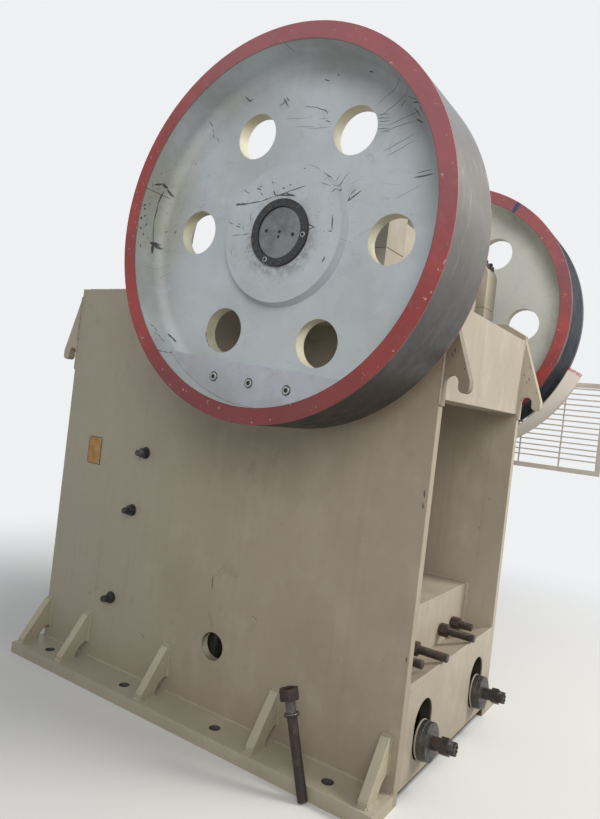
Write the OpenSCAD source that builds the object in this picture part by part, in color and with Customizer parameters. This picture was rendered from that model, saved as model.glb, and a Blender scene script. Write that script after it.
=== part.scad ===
// Jaw crusher of the single-toggle class, built as separate welded, cast and turned pieces.
// X runs along the machine: the feed front is at -X and the toggle rear at +X.
// Y is the line of the eccentric shaft: the flywheel is at -Y (near) and the sheave at +Y (far).
// Z is up, from the underside of the base flanges. All sizes are in millimetres.

/* [Frame] */
// Distance from the shaft line back to the rear edge of the side plates
rear_reach = 623; // [600:1:700]
// Clear width between the two side plates
inner_w = 1154; // [1100:1:1200]
// Thickness of a side plate
plate_t = 48; // [36:1:60]
// Height of the shaft line
shaft_z = 2346; // [2300:1:2400]
// Height of the side plates at the front
front_top_z = 2200; // [2150:1:2230]
// Height of the side plates at the rear edge
rear_top_z = 2185; // [2165:1:2200]
// Height of the side plates beside the bearing housings
shoulder_z = 2250; // [2235:1:2280]
// Run of the slope from a shoulder down to the lower top edge
shoulder_run = 120; // [90:1:130]
// Radius of the round access hole at each end of the toggle joint
access_r = 69; // [50:1:80]

/* [Base] */
// Width of a base flange
flange_w = 200; // [170:1:230]
// Thickness of a base flange
flange_t = 62; // [50:1:75]
// How far the flange runs past the front edge of the side plate
flange_over = 23; // [0:1:40]
// Radius of an anchor hole
anchor_r = 27; // [22:1:32]
// Place of the first anchor hole, measured back from the front edge
anchor_first = 213; // [190:1:230]
// Place of the last anchor hole, measured in from the rear edge
anchor_last = 256; // [230:1:280]
// Distance of the anchor holes out from the side plate
anchor_out = 110; // [95:1:125]
// Thickness of a gusset
gusset_t = 45; // [30:1:60]
// Height of a gusset against the side plate
gusset_top_z = 298; // [270:1:330]
// Height of the short upright edge of a gusset at its foot
gusset_toe = 26; // [20:1:50]
// Reach of a gusset out from the side plate
gusset_out = 175; // [150:1:190]
// Width of the flat top of a gusset against the side plate
gusset_lip = 22; // [15:1:30]
// Radius of the weld relief at the inner corner of a gusset
gusset_relief = 75; // [40:1:90]
// Places of the front gussets, measured back from the front edge
gusset_front_xs = [23, 376, 1016];
// Places of the rear gussets, measured in from the rear edge
gusset_rear_xs = [634, 57];

/* [Lifting hooks] */
// How far a hook stands past the frame edge
hook_out = 121; // [110:1:140]
// Drop from the rear top of the side plates to the root of a hook's slope
hook_drop = 25; // [15:1:45]
// Drop from the root of a hook to its outer corner
hook_slope_h = 342; // [320:1:360]
// Drop from the root of a hook to the lowest point of its tip
hook_h = 395; // [385:1:410]
// Radius of the hook notch
notch_r = 32; // [26:1:34]
// Drop from the root of a hook to the centre of the notch radius
notch_drop = 354; // [345:1:360]
// Strip of hook left between the notch and the frame edge
notch_gap = 8; // [5:1:12]
// Length of the strip below the tip
hook_foot = 60; // [40:1:80]

/* [Cross members] */
// Underside of the rear top beam
top_beam_z = 1734; // [1700:1:1760]
// Depth of the rear top beam along the machine
top_beam_d = 190; // [150:1:220]
// Drop from the top of the side plates to the top of the rear top beam
top_beam_drop = 30; // [15:1:50]
// Top of the toggle beam
toggle_beam_top = 728; // [700:1:760]
// Underside of the toggle beam
toggle_beam_low = 395; // [380:1:420]
// Distance from the rear edge in to the toggle beam
toggle_beam_in = 173; // [150:1:190]
// Depth of the toggle beam along the machine
toggle_beam_d = 300; // [260:1:320]
// Height of the shelf at the rear face of the lower beam
shelf_z = 515; // [505:1:530]
// Fall of the shelf from the rear face in to the toggle beam
shelf_fall = 57; // [0:1:65]
// Underside of the rear lower beam
low_beam_z = 55; // [40:1:80]
// Thickness of the rear lower beam's upright plate
low_beam_t = 60; // [40:1:80]
// Thickness of the shelf
shelf_t = 60; // [40:1:70]
// Width of a slot for a tension rod
slot_w = 204; // [180:1:215]
// Lowest point of a rod slot
slot_low = 122; // [110:1:130]
// Highest point of a rod slot
slot_high = 392; // [380:1:405]
// Thickness of the front wall
front_wall_t = 100; // [80:1:110]
// Thickness of the front ribs
front_rib_t = 40; // [30:1:50]
// Number of level ribs across the front
front_rib_n = 4; // [3:1:6]
// Number of upright ribs up the front
front_post_n = 3; // [1:1:4]
// Foot of the front wall
front_wall_z = 100; // [60:1:120]

/* [Crushing chamber] */
// Feed opening between the jaws at the top
gape = 750; // [700:1:780]
// Gap between the jaws at the discharge
discharge = 120; // [80:1:140]
// Distance from the shaft line forward to the top of the swing jaw's face
swing_reach = 540; // [500:1:580]
// Distance from the front edge back to the face of the fixed jaw
fixed_face = 452; // [440:1:470]
// Thickness of a jaw plate
jaw_t = 110; // [90:1:120]
// Height of the foot of the jaw plates
jaw_low_z = 150; // [140:1:170]
// Drop from the shaft line to the top of the jaw plates
jaw_top_drop = 196; // [170:1:230]
// Number of teeth across the fixed jaw plate
tooth_n = 10; // [7:1:12]
// Depth of the teeth
tooth_d = 36; // [20:1:42]
// Share of the tooth pitch that its flat tip takes
tooth_tip = 0.24; // [0.15:0.01:0.35]
// Share of the tooth pitch that the flat root takes
tooth_root = 0.2; // [0.1:0.01:0.3]
// Thickness of a cheek plate
cheek_t = 47; // [40:1:55]
// How far a cheek plate runs back past the swing jaw's face
cheek_tuck = 60; // [40:1:80]
// Clearance of the jaws from the cheek plates at each side
jaw_side_gap = 5; // [3:1:8]

/* [Swing jaw] */
// Cover left between the swing jaw's barrel and the seat of its jaw plate
barrel_cover = 20; // [10:1:40]
// Thickness of the swing jaw's front slab
jaw_slab_t = 90; // [70:1:110]
// Thickness of a swing jaw rib
jaw_rib_t = 56; // [45:1:70]
// Height of the lower head of the swing jaw along its back
jaw_head_h = 420; // [380:1:460]
// Height of the head above the toggle joint
jaw_head_up = 110; // [100:1:130]
// Drop of the head below the foot of the jaw plate
jaw_head_drop = 60; // [40:1:80]
// Angle below the level at which the ribs meet the barrel, in degrees
jaw_rib_a = 63; // [50:1:75]
// Height of the toggle joint on the swing jaw
toggle_jaw_z = 380; // [360:1:400]
// Distance of that toggle joint forward of the shaft line
toggle_reach = 428; // [410:1:450]
// Height of the toggle joint on the frame
toggle_frame_z = 610; // [590:1:630]
// Radius of the rounded ends of the toggle plate
toggle_end_r = 45; // [38:1:50]
// Thickness of the toggle plate between its ends
toggle_t = 64; // [50:1:74]
// Thickness of a toggle seat
toggle_seat_t = 60; // [50:1:70]
// Height of a toggle seat
toggle_seat_h = 180; // [150:1:200]
// Distance of the toggle plate's ends in from the sides of the swing jaw
toggle_side = 40; // [30:1:60]

/* [Shaft] */
// Radius of the journals in the bearings
journal_r = 140; // [130:1:150]
// Radius of the shaft ends in the wheel hubs
shaft_end_r = 108.5; // [100:0.5:115]
// Radius of the eccentric middle length
eccentric_r = 160; // [155:1:170]
// Eccentricity, half the stroke of the swing jaw
eccentricity = 15; // [8:1:18]
// How far a shaft end lies behind the face of its locking ring
shaft_sink = 8; // [4:1:12]
// Radial running clearance of the journals
running_gap = 0.05; // [0.02:0.01:0.1]

/* [Bearing housings] */
// Thickness of a housing beside the bearing
housing_wall = 112; // [95:1:130]
// Width of a housing along the shaft
housing_w = 180; // [160:1:182]
// Thickness of a cap over the bearing
cap_wall = 20; // [15:1:50]
// Radius of the top corners of a cap
cap_corner_r = 80; // [50:1:110]
// Thickness of a lower housing under the bearing
housing_floor = 56; // [40:1:80]
// Outer radius of the main bearings
bearing_r = 250; // [230:1:255]
// How far a bearing cover reaches past the bearing
cover_lip = 35; // [25:1:45]
// Thickness of a bearing cover's flange
cover_t = 8; // [6:1:9]

/* [Wheels] */
// Outer radius of both wheels
wheel_r = 810; // [780:1:830]
// Width of both wheels over the rim
wheel_w = 373; // [350:1:400]
// Running clearance between a bearing cover and its wheel
wheel_gap = 6; // [5:0.5:12]
// Radial thickness of the rim
rim_t = 69; // [50:1:80]
// Distance of the web's outer face in from the wheel's outer face
web_recess = 157; // [140:1:170]
// Thickness of the web
web_t = 60; // [45:1:75]
// Radius of the fillet between web and rim
web_fillet = 48; // [30:1:60]
// Radius of the hub boss on the outer side
boss_r = 293; // [270:1:320]
// Height of the outer boss above the web
boss_h = 40; // [25:1:50]
// Radius of the hub on the inner side
hub_r = 255; // [230:1:270]
// Spread of the hub's foot where it meets the web
hub_draft = 20; // [10:1:30]
// Spread of the outer boss where it meets the web
boss_draft = 12; // [6:1:20]
// Number of round holes in a web
web_hole_n = 6; // [4:1:8]
// Radius of a web hole
web_hole_r = 100; // [80:1:110]
// Radius of the circle through the web hole centres
web_hole_pcr = 499; // [480:1:510]
// Angle of the first web hole at rest, in degrees
wheel_phase = -4.4; // [-30:0.1:30]
// Outer radius of a locking ring
lock_r = 142; // [135:1:155]
// Length of a locking ring
lock_len = 130; // [100:1:160]
// How far a locking ring stands out of the boss
lock_proud = 15; // [8:1:20]
// Depth of a counterweight, measured in from the rim
weight_depth = 179; // [150:1:200]
// Thickness of a counterweight on the web
weight_t = 73; // [50:1:90]
// Number of belt grooves round the sheave
groove_n = 8; // [4:1:9]
// Pitch of the belt grooves
groove_pitch = 37; // [34:1:38]
// Width of a groove at the tread
groove_w = 32; // [26:1:33]
// Depth of a groove
groove_d = 28; // [20:1:32]
// Slope of a groove's sides, in degrees
groove_a = 18; // [16:1:20]

/* [Rear rods and studs] */
// Distance of the tension rods from the middle of the machine
rod_y = 370; // [350:1:385]
// Radius of a tension rod
rod_r = 29; // [24:1:34]
// Height of a tension rod at the rear face of the beam
rod_z = 209; // [200:1:220]
// Upward tilt of the rods toward the rear, in degrees
rod_tilt = 5; // [0:0.5:7]
// Length of a rod behind the rear face of the beam
rod_out = 158; // [150:1:190]
// Radius of the collar behind a rod's nut
rod_collar_r = 30; // [27:1:42]
// Thickness of that collar
rod_collar_t = 46; // [36:1:56]
// Width across the flats of a rod's nut
rod_nut_af = 72; // [64:1:80]
// Thickness of a rod's nut
rod_nut_t = 34; // [28:1:40]
// Radius of a spring disc
disc_r = 87; // [75:1:98]
// Step down in radius from one disc to the next
disc_step = 2; // [0:1:6]
// Thickness of a spring disc
disc_t = 22; // [18:1:26]
// Number of spring discs on each rod
disc_n = 2; // [1:1:3]
// Distances of the adjusting studs from the middle of the machine
stud_ys = [-375, -200, 200, 375];
// Lengths of the adjusting studs behind the toggle beam
stud_lens = [142, 195, 191, 118];
// Radius of an adjusting stud
stud_r = 20; // [16:1:22]
// Clearance of the studs above the rear edge of the shelf
stud_gap = 3; // [2:0.5:8]
// Distance of the stud nuts behind the toggle beam
stud_nut_in = 14; // [8:1:30]
// Width across the flats of a stud nut
stud_nut_af = 63; // [56:1:68]
// Thickness of a stud nut
stud_nut_t = 34; // [28:1:40]

/* [Cheek bolts] */
// Heights of the cheek bolts on each side
cheek_bolt_zs = [436, 951, 1281];
// Radius of a cheek bolt
cheek_bolt_r = 17; // [12:1:20]
// How far a cheek bolt stands out of the side plate
cheek_bolt_out = 64; // [50:1:80]
// Width across the flats of a cheek bolt's nut
cheek_nut_af = 52; // [44:1:56]
// Thickness of a cheek bolt's nut
cheek_nut_t = 30; // [24:1:36]

/* [Belt guard] */
// Radial clearance from the sheave to the guard sheet
guard_gap = 75; // [60:1:100]
// Thickness of the guard sheet
guard_t = 6; // [4:1:10]
// Angle of the rear end of the sheet, in degrees below the level
guard_start = 20; // [10:1:30]
// Clearance from the sheave's outer face to the mesh panel
guard_side_gap = 21; // [12:1:40]
// How far the mesh panel runs past the guard sheet at each end
mesh_past = 109; // [60:1:150]
// Drop from the shaft line to the top edge of the mesh panel
mesh_top_drop = 356; // [340:1:400]
// How far the mesh panel hangs below the guard sheet
mesh_hang = 35; // [20:1:60]
// Width of the mesh panel's frame bars
mesh_frame = 30; // [20:1:40]
// Thickness of the mesh bars
mesh_bar = 8; // [6:1:12]
// Pitch of the level mesh bars
mesh_pitch = 34.5; // [30:0.5:60]
// Pitch of the upright mesh bars
mesh_post_pitch = 250; // [200:5:330]
// Side of a guard bracket's square bar
bracket_w = 50; // [40:1:60]
// Angles of the guard brackets, in degrees below the level
bracket_angles = [50, 77, 103, 130];

/* [Holding-down bolt] */
// Radius of the loose holding-down bolt
anchor_bolt_r = 22; // [18:1:26]
// Length of the loose holding-down bolt
anchor_bolt_len = 431; // [400:1:460]
// Place of its foot, measured in from the rear edge
anchor_bolt_in = 303; // [290:1:320]
// Lean of the loose bolt toward the front, in degrees
anchor_bolt_lean = 17; // [0:1:20]
// Radius of the washer on the loose bolt
anchor_washer_r = 34; // [28:1:38]
// Thickness of that washer
anchor_washer_t = 10; // [6:1:14]
// Distance of the washer down from the top of the loose bolt
anchor_washer_in = 91; // [80:1:120]
// Width across the flats of the nut on the loose bolt
anchor_nut_af = 78; // [60:1:84]
// Thickness of that nut
anchor_nut_t = 47; // [36:1:54]
// How far the nut stands past the end of the loose bolt
anchor_nut_over = 20; // [10:1:26]

/* [Hidden] */
$fn = 96;
seat = 0.3;
fixed_x = -swing_reach - gape;
front_x = fixed_x - fixed_face;
rear_x = rear_reach;
in_y = inner_w / 2;
out_y = in_y + plate_t;
gusset_xs = concat([for (x = gusset_front_xs) front_x + x],
    [for (x = gusset_rear_xs) rear_x - x]);
hook_root_z = rear_top_z - hook_drop;
jaw_top_z = shaft_z - jaw_top_drop;
swing_top = [-swing_reach, jaw_top_z];
swing_low = [fixed_x + discharge, jaw_low_z];
jaw_dir = (swing_low - swing_top) / norm(swing_low - swing_top);
jaw_normal = [-jaw_dir[1], jaw_dir[0]];
jaw_tilt = atan2(-jaw_dir[0], -jaw_dir[1]);
barrel_r = ([0, shaft_z] - swing_top) * jaw_normal - jaw_t - seat - barrel_cover;
cheek_in = in_y - cheek_t;
jaw_half = cheek_in - jaw_side_gap;
toggle_jaw_x = -toggle_reach;
toggle_beam_x = rear_x - toggle_beam_in;
toggle_beam_front = toggle_beam_x - toggle_beam_d;
toggle_frame_x = toggle_beam_front - toggle_seat_t;
toggle_half = jaw_half - toggle_side;
stud_z = shelf_z + stud_gap + stud_r;
housing_half = bearing_r + housing_wall;
housing_low = bearing_r + housing_floor;
housing_out = in_y + housing_w;
wheel_in = housing_out + cover_t + wheel_gap;
wheel_out = wheel_in + wheel_w;
web_out = wheel_out - web_recess;
web_in = web_out - web_t;
rim_in_r = wheel_r - rim_t;
hub_face = web_out + boss_h;
lock_face = hub_face + lock_proud;
lock_in = lock_face - lock_len;
shaft_end_y = lock_face - shaft_sink;
weight_chord = rim_in_r - weight_depth;
weight_face = web_out + weight_t;
guard_r = wheel_r + guard_gap;
guard_out = wheel_out + guard_side_gap;
guard_seat_r = sqrt(pow(guard_r - seat, 2) - pow(bracket_w / 2, 2));
mesh_half = guard_r + guard_t + mesh_past;
mesh_top_z = shaft_z - mesh_top_drop;
mesh_low_z = shaft_z - guard_r - guard_t - mesh_hang;

cream = [0.80, 0.78, 0.70];
wheel_white = [0.80, 0.83, 0.84];
dark_steel = [0.16, 0.15, 0.15];
bare_steel = [0.45, 0.44, 0.43];
manganese = [0.33, 0.31, 0.29];

// Points of an arc about c from angle a to angle b
function arc(c, r, a, b, n = 8) =
    [for (i = [0 : n]) c + r * [cos(a + (b - a) * i / n), sin(a + (b - a) * i / n)]];

// Distance of the swing jaw's face from the shaft line at a height
function swing_x(z) = swing_top[0]
    + (z - swing_top[1]) * (swing_low[0] - swing_top[0]) / (swing_low[1] - swing_top[1]);

// A plate cut to a side-view outline, from y0 to y1
module side_cut(points, y0, y1) {
    translate([0, y1, 0]) rotate([90, 0, 0]) linear_extrude(y1 - y0) polygon(points);
}

// A solid turned about the shaft line from an outline of radius and distance along Y
module turned(points) {
    translate([0, 0, shaft_z]) rotate([-90, 0, 0]) rotate_extrude($fn = 180) polygon(points);
}

// A round bar along the shaft line from y0 to y1
module shaft_bar(r, y0, y1) {
    translate([0, y0, shaft_z]) rotate([-90, 0, 0]) cylinder(r = r, h = y1 - y0);
}

// Puts a far-side piece on the near side when far is false
module on_side(far) {
    if (far) children();
    else mirror([0, 1, 0]) children();
}

// A hexagonal nut with its axis along +Z
module nut(af, t) {
    cylinder(r = af / 2 / cos(30), h = t, $fn = 6);
}

module side_plate(far) {
    low_z = shaft_z - housing_low;
    notch = housing_half + seat;
    outline = [[front_x, 0], [rear_x, 0], [rear_x, rear_top_z],
        [rear_x - shoulder_run, shoulder_z], [notch, shoulder_z], [notch, low_z],
        [-notch, low_z], [-notch, shoulder_z], [-notch - shoulder_run, shoulder_z],
        [-notch - 2 * shoulder_run, front_top_z], [front_x, front_top_z]];
    color(cream) on_side(far) difference() {
        side_cut(outline, in_y, out_y);
        translate([toggle_jaw_x, in_y - 1, toggle_jaw_z]) rotate([-90, 0, 0])
            cylinder(r = access_r, h = plate_t + 2);
    }
}

module front_wall() {
    wall_x = fixed_x - jaw_t - seat;
    color(cream) translate([wall_x - front_wall_t, -in_y, front_wall_z])
        cube([front_wall_t, inner_w, front_top_z - front_wall_z]);
}

module front_ribs() {
    wall_x = fixed_x - jaw_t - seat - front_wall_t;
    depth = wall_x - front_x;
    step = (front_top_z - front_wall_z - front_rib_t) / (front_rib_n - 1);
    color(cream) union() {
        for (i = [0 : front_rib_n - 1])
            translate([front_x, -in_y, front_wall_z + i * step])
                cube([depth, inner_w, front_rib_t]);
        for (i = [1 : front_post_n])
            translate([front_x, i * inner_w / (front_post_n + 1) - in_y - front_rib_t / 2,
                front_wall_z])
                cube([depth, front_rib_t, front_top_z - front_wall_z]);
    }
}

module rear_top_beam() {
    color(cream) translate([rear_x - top_beam_d, -in_y, top_beam_z])
        cube([top_beam_d, inner_w, rear_top_z - top_beam_drop - top_beam_z]);
}

module toggle_beam() {
    color(cream) translate([toggle_beam_front, -in_y, toggle_beam_low])
        cube([toggle_beam_d, inner_w, toggle_beam_top - toggle_beam_low]);
}

module rear_lower_beam() {
    plate_x = rear_x - low_beam_t;
    slot_r = slot_w / 2;
    shelf_in_z = shelf_z - shelf_fall;
    under_z = shelf_z - shelf_t - shelf_fall * low_beam_t / toggle_beam_in;
    outline = [[rear_x, low_beam_z], [rear_x, shelf_z], [toggle_beam_x, shelf_in_z],
        [toggle_beam_x, shelf_in_z - shelf_t], [plate_x, under_z], [plate_x, low_beam_z]];
    color(cream) difference() {
        side_cut(outline, -in_y, in_y);
        for (y = [-rod_y, rod_y]) {
            for (z = [slot_low + slot_r, slot_high - slot_r])
                translate([plate_x - 1, y, z]) rotate([0, 90, 0])
                    cylinder(r = slot_r, h = low_beam_t + 2);
            translate([plate_x - 1, y - slot_r, slot_low + slot_r])
                cube([low_beam_t + 2, slot_w, slot_high - slot_low - slot_w]);
        }
    }
}

module base_flange(far) {
    pitch = (rear_x - anchor_last - front_x - anchor_first) / 3;
    color(cream) on_side(far) difference() {
        translate([front_x - flange_over, out_y, 0])
            cube([rear_x - front_x + flange_over, flange_w, flange_t]);
        for (i = [0 : 3])
            translate([front_x + anchor_first + i * pitch, out_y + anchor_out, -1])
                cylinder(r = anchor_r, h = flange_t + 2);
    }
}

module gussets(far) {
    color(cream) on_side(far) for (x = gusset_xs)
        translate([x - gusset_t / 2, out_y, flange_t]) rotate([90, 0, 90])
            linear_extrude(gusset_t) difference() {
                polygon([[0, 0], [gusset_out, 0], [gusset_out, gusset_toe],
                    [gusset_lip, gusset_top_z - flange_t], [0, gusset_top_z - flange_t]]);
                circle(r = gusset_relief);
            }
}

// A lifting hook that stands out past a frame edge toward +X
module hook_outline() {
    notch_x = notch_gap + notch_r;
    tip_r = (hook_out - notch_gap - 2 * notch_r) / 2;
    tip_x = hook_out - tip_r;
    tip_z = hook_root_z - hook_h;
    polygon(concat([[0, hook_root_z], [0, tip_z - hook_foot], [notch_gap, tip_z - hook_foot]],
        arc([notch_x, hook_root_z - notch_drop], notch_r, 180, 0, 12),
        arc([tip_x, tip_z + tip_r], tip_r, 180, 360, 10),
        [[hook_out, hook_root_z - hook_slope_h]]));
}

module hook(far, rear) {
    color(cream) on_side(far) translate([rear ? rear_x : front_x, out_y, 0])
        mirror([rear ? 0 : 1, 0, 0]) rotate([90, 0, 0]) linear_extrude(plate_t)
            hook_outline();
}

module bearing_housing(far) {
    color(cream) on_side(far) difference() {
        translate([-housing_half, in_y, shaft_z - housing_low])
            cube([2 * housing_half, housing_w, housing_low]);
        shaft_bar(bearing_r + seat, in_y - 1, housing_out + 1);
    }
}

module bearing_cap(far) {
    corner_z = shaft_z + bearing_r + cap_wall - cap_corner_r;
    corner_x = housing_half - cap_corner_r;
    outline = concat([[-housing_half, shaft_z + seat], [housing_half, shaft_z + seat]],
        arc([corner_x, corner_z], cap_corner_r, 0, 90),
        arc([-corner_x, corner_z], cap_corner_r, 90, 180));
    color(cream) on_side(far) difference() {
        side_cut(outline, in_y, housing_out);
        shaft_bar(bearing_r + seat, in_y - 1, housing_out + 1);
    }
}

// A main bearing with the flange of its outer cover
module bearing(far) {
    cover_r = bearing_r + cover_lip;
    color(bare_steel) on_side(far) turned([[journal_r + running_gap, in_y],
        [bearing_r, in_y], [bearing_r, housing_out], [cover_r, housing_out],
        [cover_r, housing_out + cover_t], [journal_r + running_gap, housing_out + cover_t]]);
}

// Plan of a jaw plate with n upright teeth, their tips along the line y = 0
module jaw_plate_plan(n) {
    pitch = 2 * jaw_half / tooth_n;
    foot = pitch * (1 - tooth_root) / 2;
    tip = pitch * tooth_tip / 2;
    teeth = [for (i = [0 : n - 1])
        let (mid = (i - (n - 1) / 2) * pitch)
        each [[mid - foot, tooth_d], [mid - tip, 0], [mid + tip, 0], [mid + foot, tooth_d]]];
    polygon(concat([[-jaw_half, jaw_t], [-jaw_half, tooth_d]], teeth,
        [[jaw_half, tooth_d], [jaw_half, jaw_t]]));
}

module fixed_jaw_plate() {
    color(manganese) translate([fixed_x, 0, jaw_low_z]) rotate([0, 0, 90])
        linear_extrude(jaw_top_z - jaw_low_z) jaw_plate_plan(tooth_n);
}

// The swing jaw plate, whose teeth face the gaps between those of the fixed plate
module swing_jaw_plate() {
    color(manganese) translate([swing_low[0], 0, swing_low[1]]) rotate([0, jaw_tilt, 0])
        rotate([0, 0, -90]) linear_extrude(norm(swing_top - swing_low))
            jaw_plate_plan(tooth_n - 1);
}

// The swing jaw: a barrel on the shaft, a front slab, ribs and a lower head
module swing_jaw() {
    back = jaw_t + seat;
    a = swing_top + back * jaw_normal;
    b = swing_low + back * jaw_normal;
    c = b + jaw_slab_t * jaw_normal;
    d = a + jaw_slab_t * jaw_normal;
    head_x = toggle_jaw_x - toggle_seat_t;
    head_low = [head_x, jaw_low_z - jaw_head_drop];
    head_top = [head_x, toggle_jaw_z + jaw_head_up];
    head = [b, c, head_low, head_top, c - jaw_head_h * jaw_dir, b - jaw_head_h * jaw_dir];
    rib = [a, b, head_low, head_top,
        [barrel_r * cos(jaw_rib_a), shaft_z - barrel_r * sin(jaw_rib_a)], [0, shaft_z]];
    color(cream) difference() {
        union() {
            shaft_bar(barrel_r, -jaw_half, jaw_half);
            side_cut([a, b, c, d], -jaw_half, jaw_half);
            side_cut(head, -jaw_half, jaw_half);
            for (i = [0 : 3]) {
                y = -jaw_half + jaw_rib_t / 2 + i * (2 * jaw_half - jaw_rib_t) / 3;
                side_cut(rib, y - jaw_rib_t / 2, y + jaw_rib_t / 2);
            }
        }
        shaft_bar(eccentric_r + eccentricity + seat, -jaw_half - 1, jaw_half + 1);
    }
}

module cheek_plate(far) {
    x0 = fixed_x - jaw_t;
    outline = [[x0, jaw_low_z], [swing_low[0] + cheek_tuck, jaw_low_z],
        [swing_top[0] + cheek_tuck, jaw_top_z], [x0, jaw_top_z]];
    color(manganese) on_side(far) side_cut(outline, cheek_in, in_y);
}

module toggle_plate() {
    p = [toggle_jaw_x, toggle_jaw_z];
    q = [toggle_frame_x, toggle_frame_z];
    len = norm(q - p);
    tilt = atan2(q[1] - p[1], q[0] - p[0]);
    color(bare_steel) translate([p[0], 0, p[1]]) rotate([0, -tilt, 0]) union() {
        for (x = [0, len])
            translate([x, toggle_half, 0]) rotate([90, 0, 0])
                cylinder(r = toggle_end_r, h = 2 * toggle_half);
        translate([0, -toggle_half, -toggle_t / 2]) cube([len, 2 * toggle_half, toggle_t]);
    }
}

// A block from x0 back, with a round groove at groove_x for one end of the toggle plate
module toggle_seat(x0, groove_x, z) {
    color(bare_steel) difference() {
        translate([x0, -toggle_half, z - toggle_seat_h / 2])
            cube([toggle_seat_t, 2 * toggle_half, toggle_seat_h]);
        translate([groove_x, jaw_half, z]) rotate([90, 0, 0])
            cylinder(r = toggle_end_r + seat, h = 2 * jaw_half);
    }
}

module toggle_seat_rear() {
    toggle_seat(toggle_frame_x, toggle_frame_x, toggle_frame_z);
}

module toggle_seat_jaw() {
    toggle_seat(toggle_jaw_x - toggle_seat_t, toggle_jaw_x, toggle_jaw_z);
}

module adjusting_studs() {
    color(dark_steel) for (i = [0 : len(stud_ys) - 1])
        translate([toggle_beam_x, stud_ys[i], stud_z]) rotate([0, 90, 0]) union() {
            cylinder(r = stud_r, h = stud_lens[i]);
            translate([0, 0, stud_nut_in]) rotate([0, 0, 30]) nut(stud_nut_af, stud_nut_t);
        }
}

// Places pieces on the axis of each tension rod, with +Z out toward the rear
module on_rods() {
    for (y = [-rod_y, rod_y])
        translate([rear_x, y, rod_z]) rotate([0, 90 - rod_tilt, 0]) children();
}

module tension_rods() {
    head_x = toggle_jaw_x - toggle_seat_t;
    rod_in = (rear_x - head_x) / cos(rod_tilt) - rod_r * tan(rod_tilt) - seat;
    stack = disc_r * tan(rod_tilt) + disc_n * disc_t;
    color(dark_steel) on_rods() union() {
        translate([0, 0, -rod_in]) cylinder(r = rod_r, h = rod_in + rod_out);
        translate([0, 0, stack + 2 * seat]) cylinder(r = rod_collar_r, h = rod_collar_t);
        translate([0, 0, stack + 2 * seat + rod_collar_t]) nut(rod_nut_af, rod_nut_t);
    }
}

module spring_discs() {
    first = disc_r * tan(rod_tilt) + seat;
    color(dark_steel) on_rods() translate([0, 0, first]) difference() {
        union() {
            for (i = [0 : disc_n - 1]) translate([0, 0, i * disc_t])
                cylinder(r = disc_r - disc_step * i, h = disc_t);
        }
        translate([0, 0, -1]) cylinder(r = rod_r + seat, h = disc_n * disc_t + 2);
    }
}

module cheek_bolts(far) {
    color(dark_steel) on_side(far) for (z = cheek_bolt_zs)
        translate([(fixed_x + swing_x(z)) / 2, out_y, z]) rotate([-90, 0, 0]) union() {
            cylinder(r = cheek_bolt_r, h = cheek_bolt_out);
            nut(cheek_nut_af, cheek_nut_t);
        }
}

module eccentric_shaft() {
    color(bare_steel) union() {
        shaft_bar(shaft_end_r, -shaft_end_y, shaft_end_y);
        shaft_bar(journal_r, -lock_in, lock_in);
        translate([eccentricity, 0, 0]) shaft_bar(eccentric_r, -jaw_half, jaw_half);
    }
}

// Outline of a wheel: radius and distance along Y, without its holes
function tread(grooved) = grooved
    ? [for (i = [0 : groove_n - 1])
        let (y = (wheel_in + wheel_out) / 2 + (groove_n / 2 - i - 0.5) * groove_pitch,
            floor_w = groove_w - 2 * groove_d * tan(groove_a))
        each [[wheel_r, y + groove_w / 2], [wheel_r - groove_d, y + floor_w / 2],
            [wheel_r - groove_d, y - floor_w / 2], [wheel_r, y - groove_w / 2]]]
    : [];

function wheel_outline(grooved) = concat(
    [[journal_r + seat, wheel_in], [hub_r, wheel_in], [hub_r, web_in - hub_draft],
        [hub_r + hub_draft, web_in]],
    arc([rim_in_r - web_fillet, web_in - web_fillet], web_fillet, 90, 0, 6),
    [[rim_in_r, wheel_in], [wheel_r, wheel_in]],
    [for (i = [len(tread(grooved)) - 1 : -1 : 0]) tread(grooved)[i]],
    [[wheel_r, wheel_out], [rim_in_r, wheel_out]],
    arc([rim_in_r - web_fillet, web_out + web_fillet], web_fillet, 0, -90, 6),
    [[boss_r + boss_draft, web_out], [boss_r, hub_face], [lock_r + seat, hub_face],
        [lock_r + seat, lock_in], [journal_r + seat, lock_in]]);

module wheel(far, grooved) {
    on_side(far) difference() {
        turned(wheel_outline(grooved));
        for (i = [0 : web_hole_n - 1])
            translate([0, web_in - 1, shaft_z])
                rotate([0, -wheel_phase - i * 360 / web_hole_n, 0])
                    translate([web_hole_pcr, 0, 0]) rotate([-90, 0, 0])
                        cylinder(r = web_hole_r, h = web_t + 2);
    }
}

module lock_ring(far) {
    color(dark_steel) on_side(far) turned([[shaft_end_r + seat, lock_in], [lock_r, lock_in],
        [lock_r, lock_face], [shaft_end_r + seat, lock_face]]);
}

// A segment of plate in the lower part of a wheel, shaped to the rim's fillet
module counterweight(far) {
    clear = seat;
    r_out = rim_in_r - clear;
    y_in = web_out + clear;
    fillet = web_fillet;
    color(wheel_white) on_side(far) intersection() {
        turned(concat([[weight_chord - clear, weight_face], [weight_chord - clear, y_in]],
            arc([r_out - fillet, y_in + fillet], fillet, -90, 0, 6),
            [[r_out, weight_face]]));
        translate([0, 0, shaft_z]) rotate([0, -wheel_phase, 0])
            translate([-wheel_r, 0, -wheel_r - weight_chord])
                cube([2 * wheel_r, wheel_out, wheel_r]);
    }
}

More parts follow.
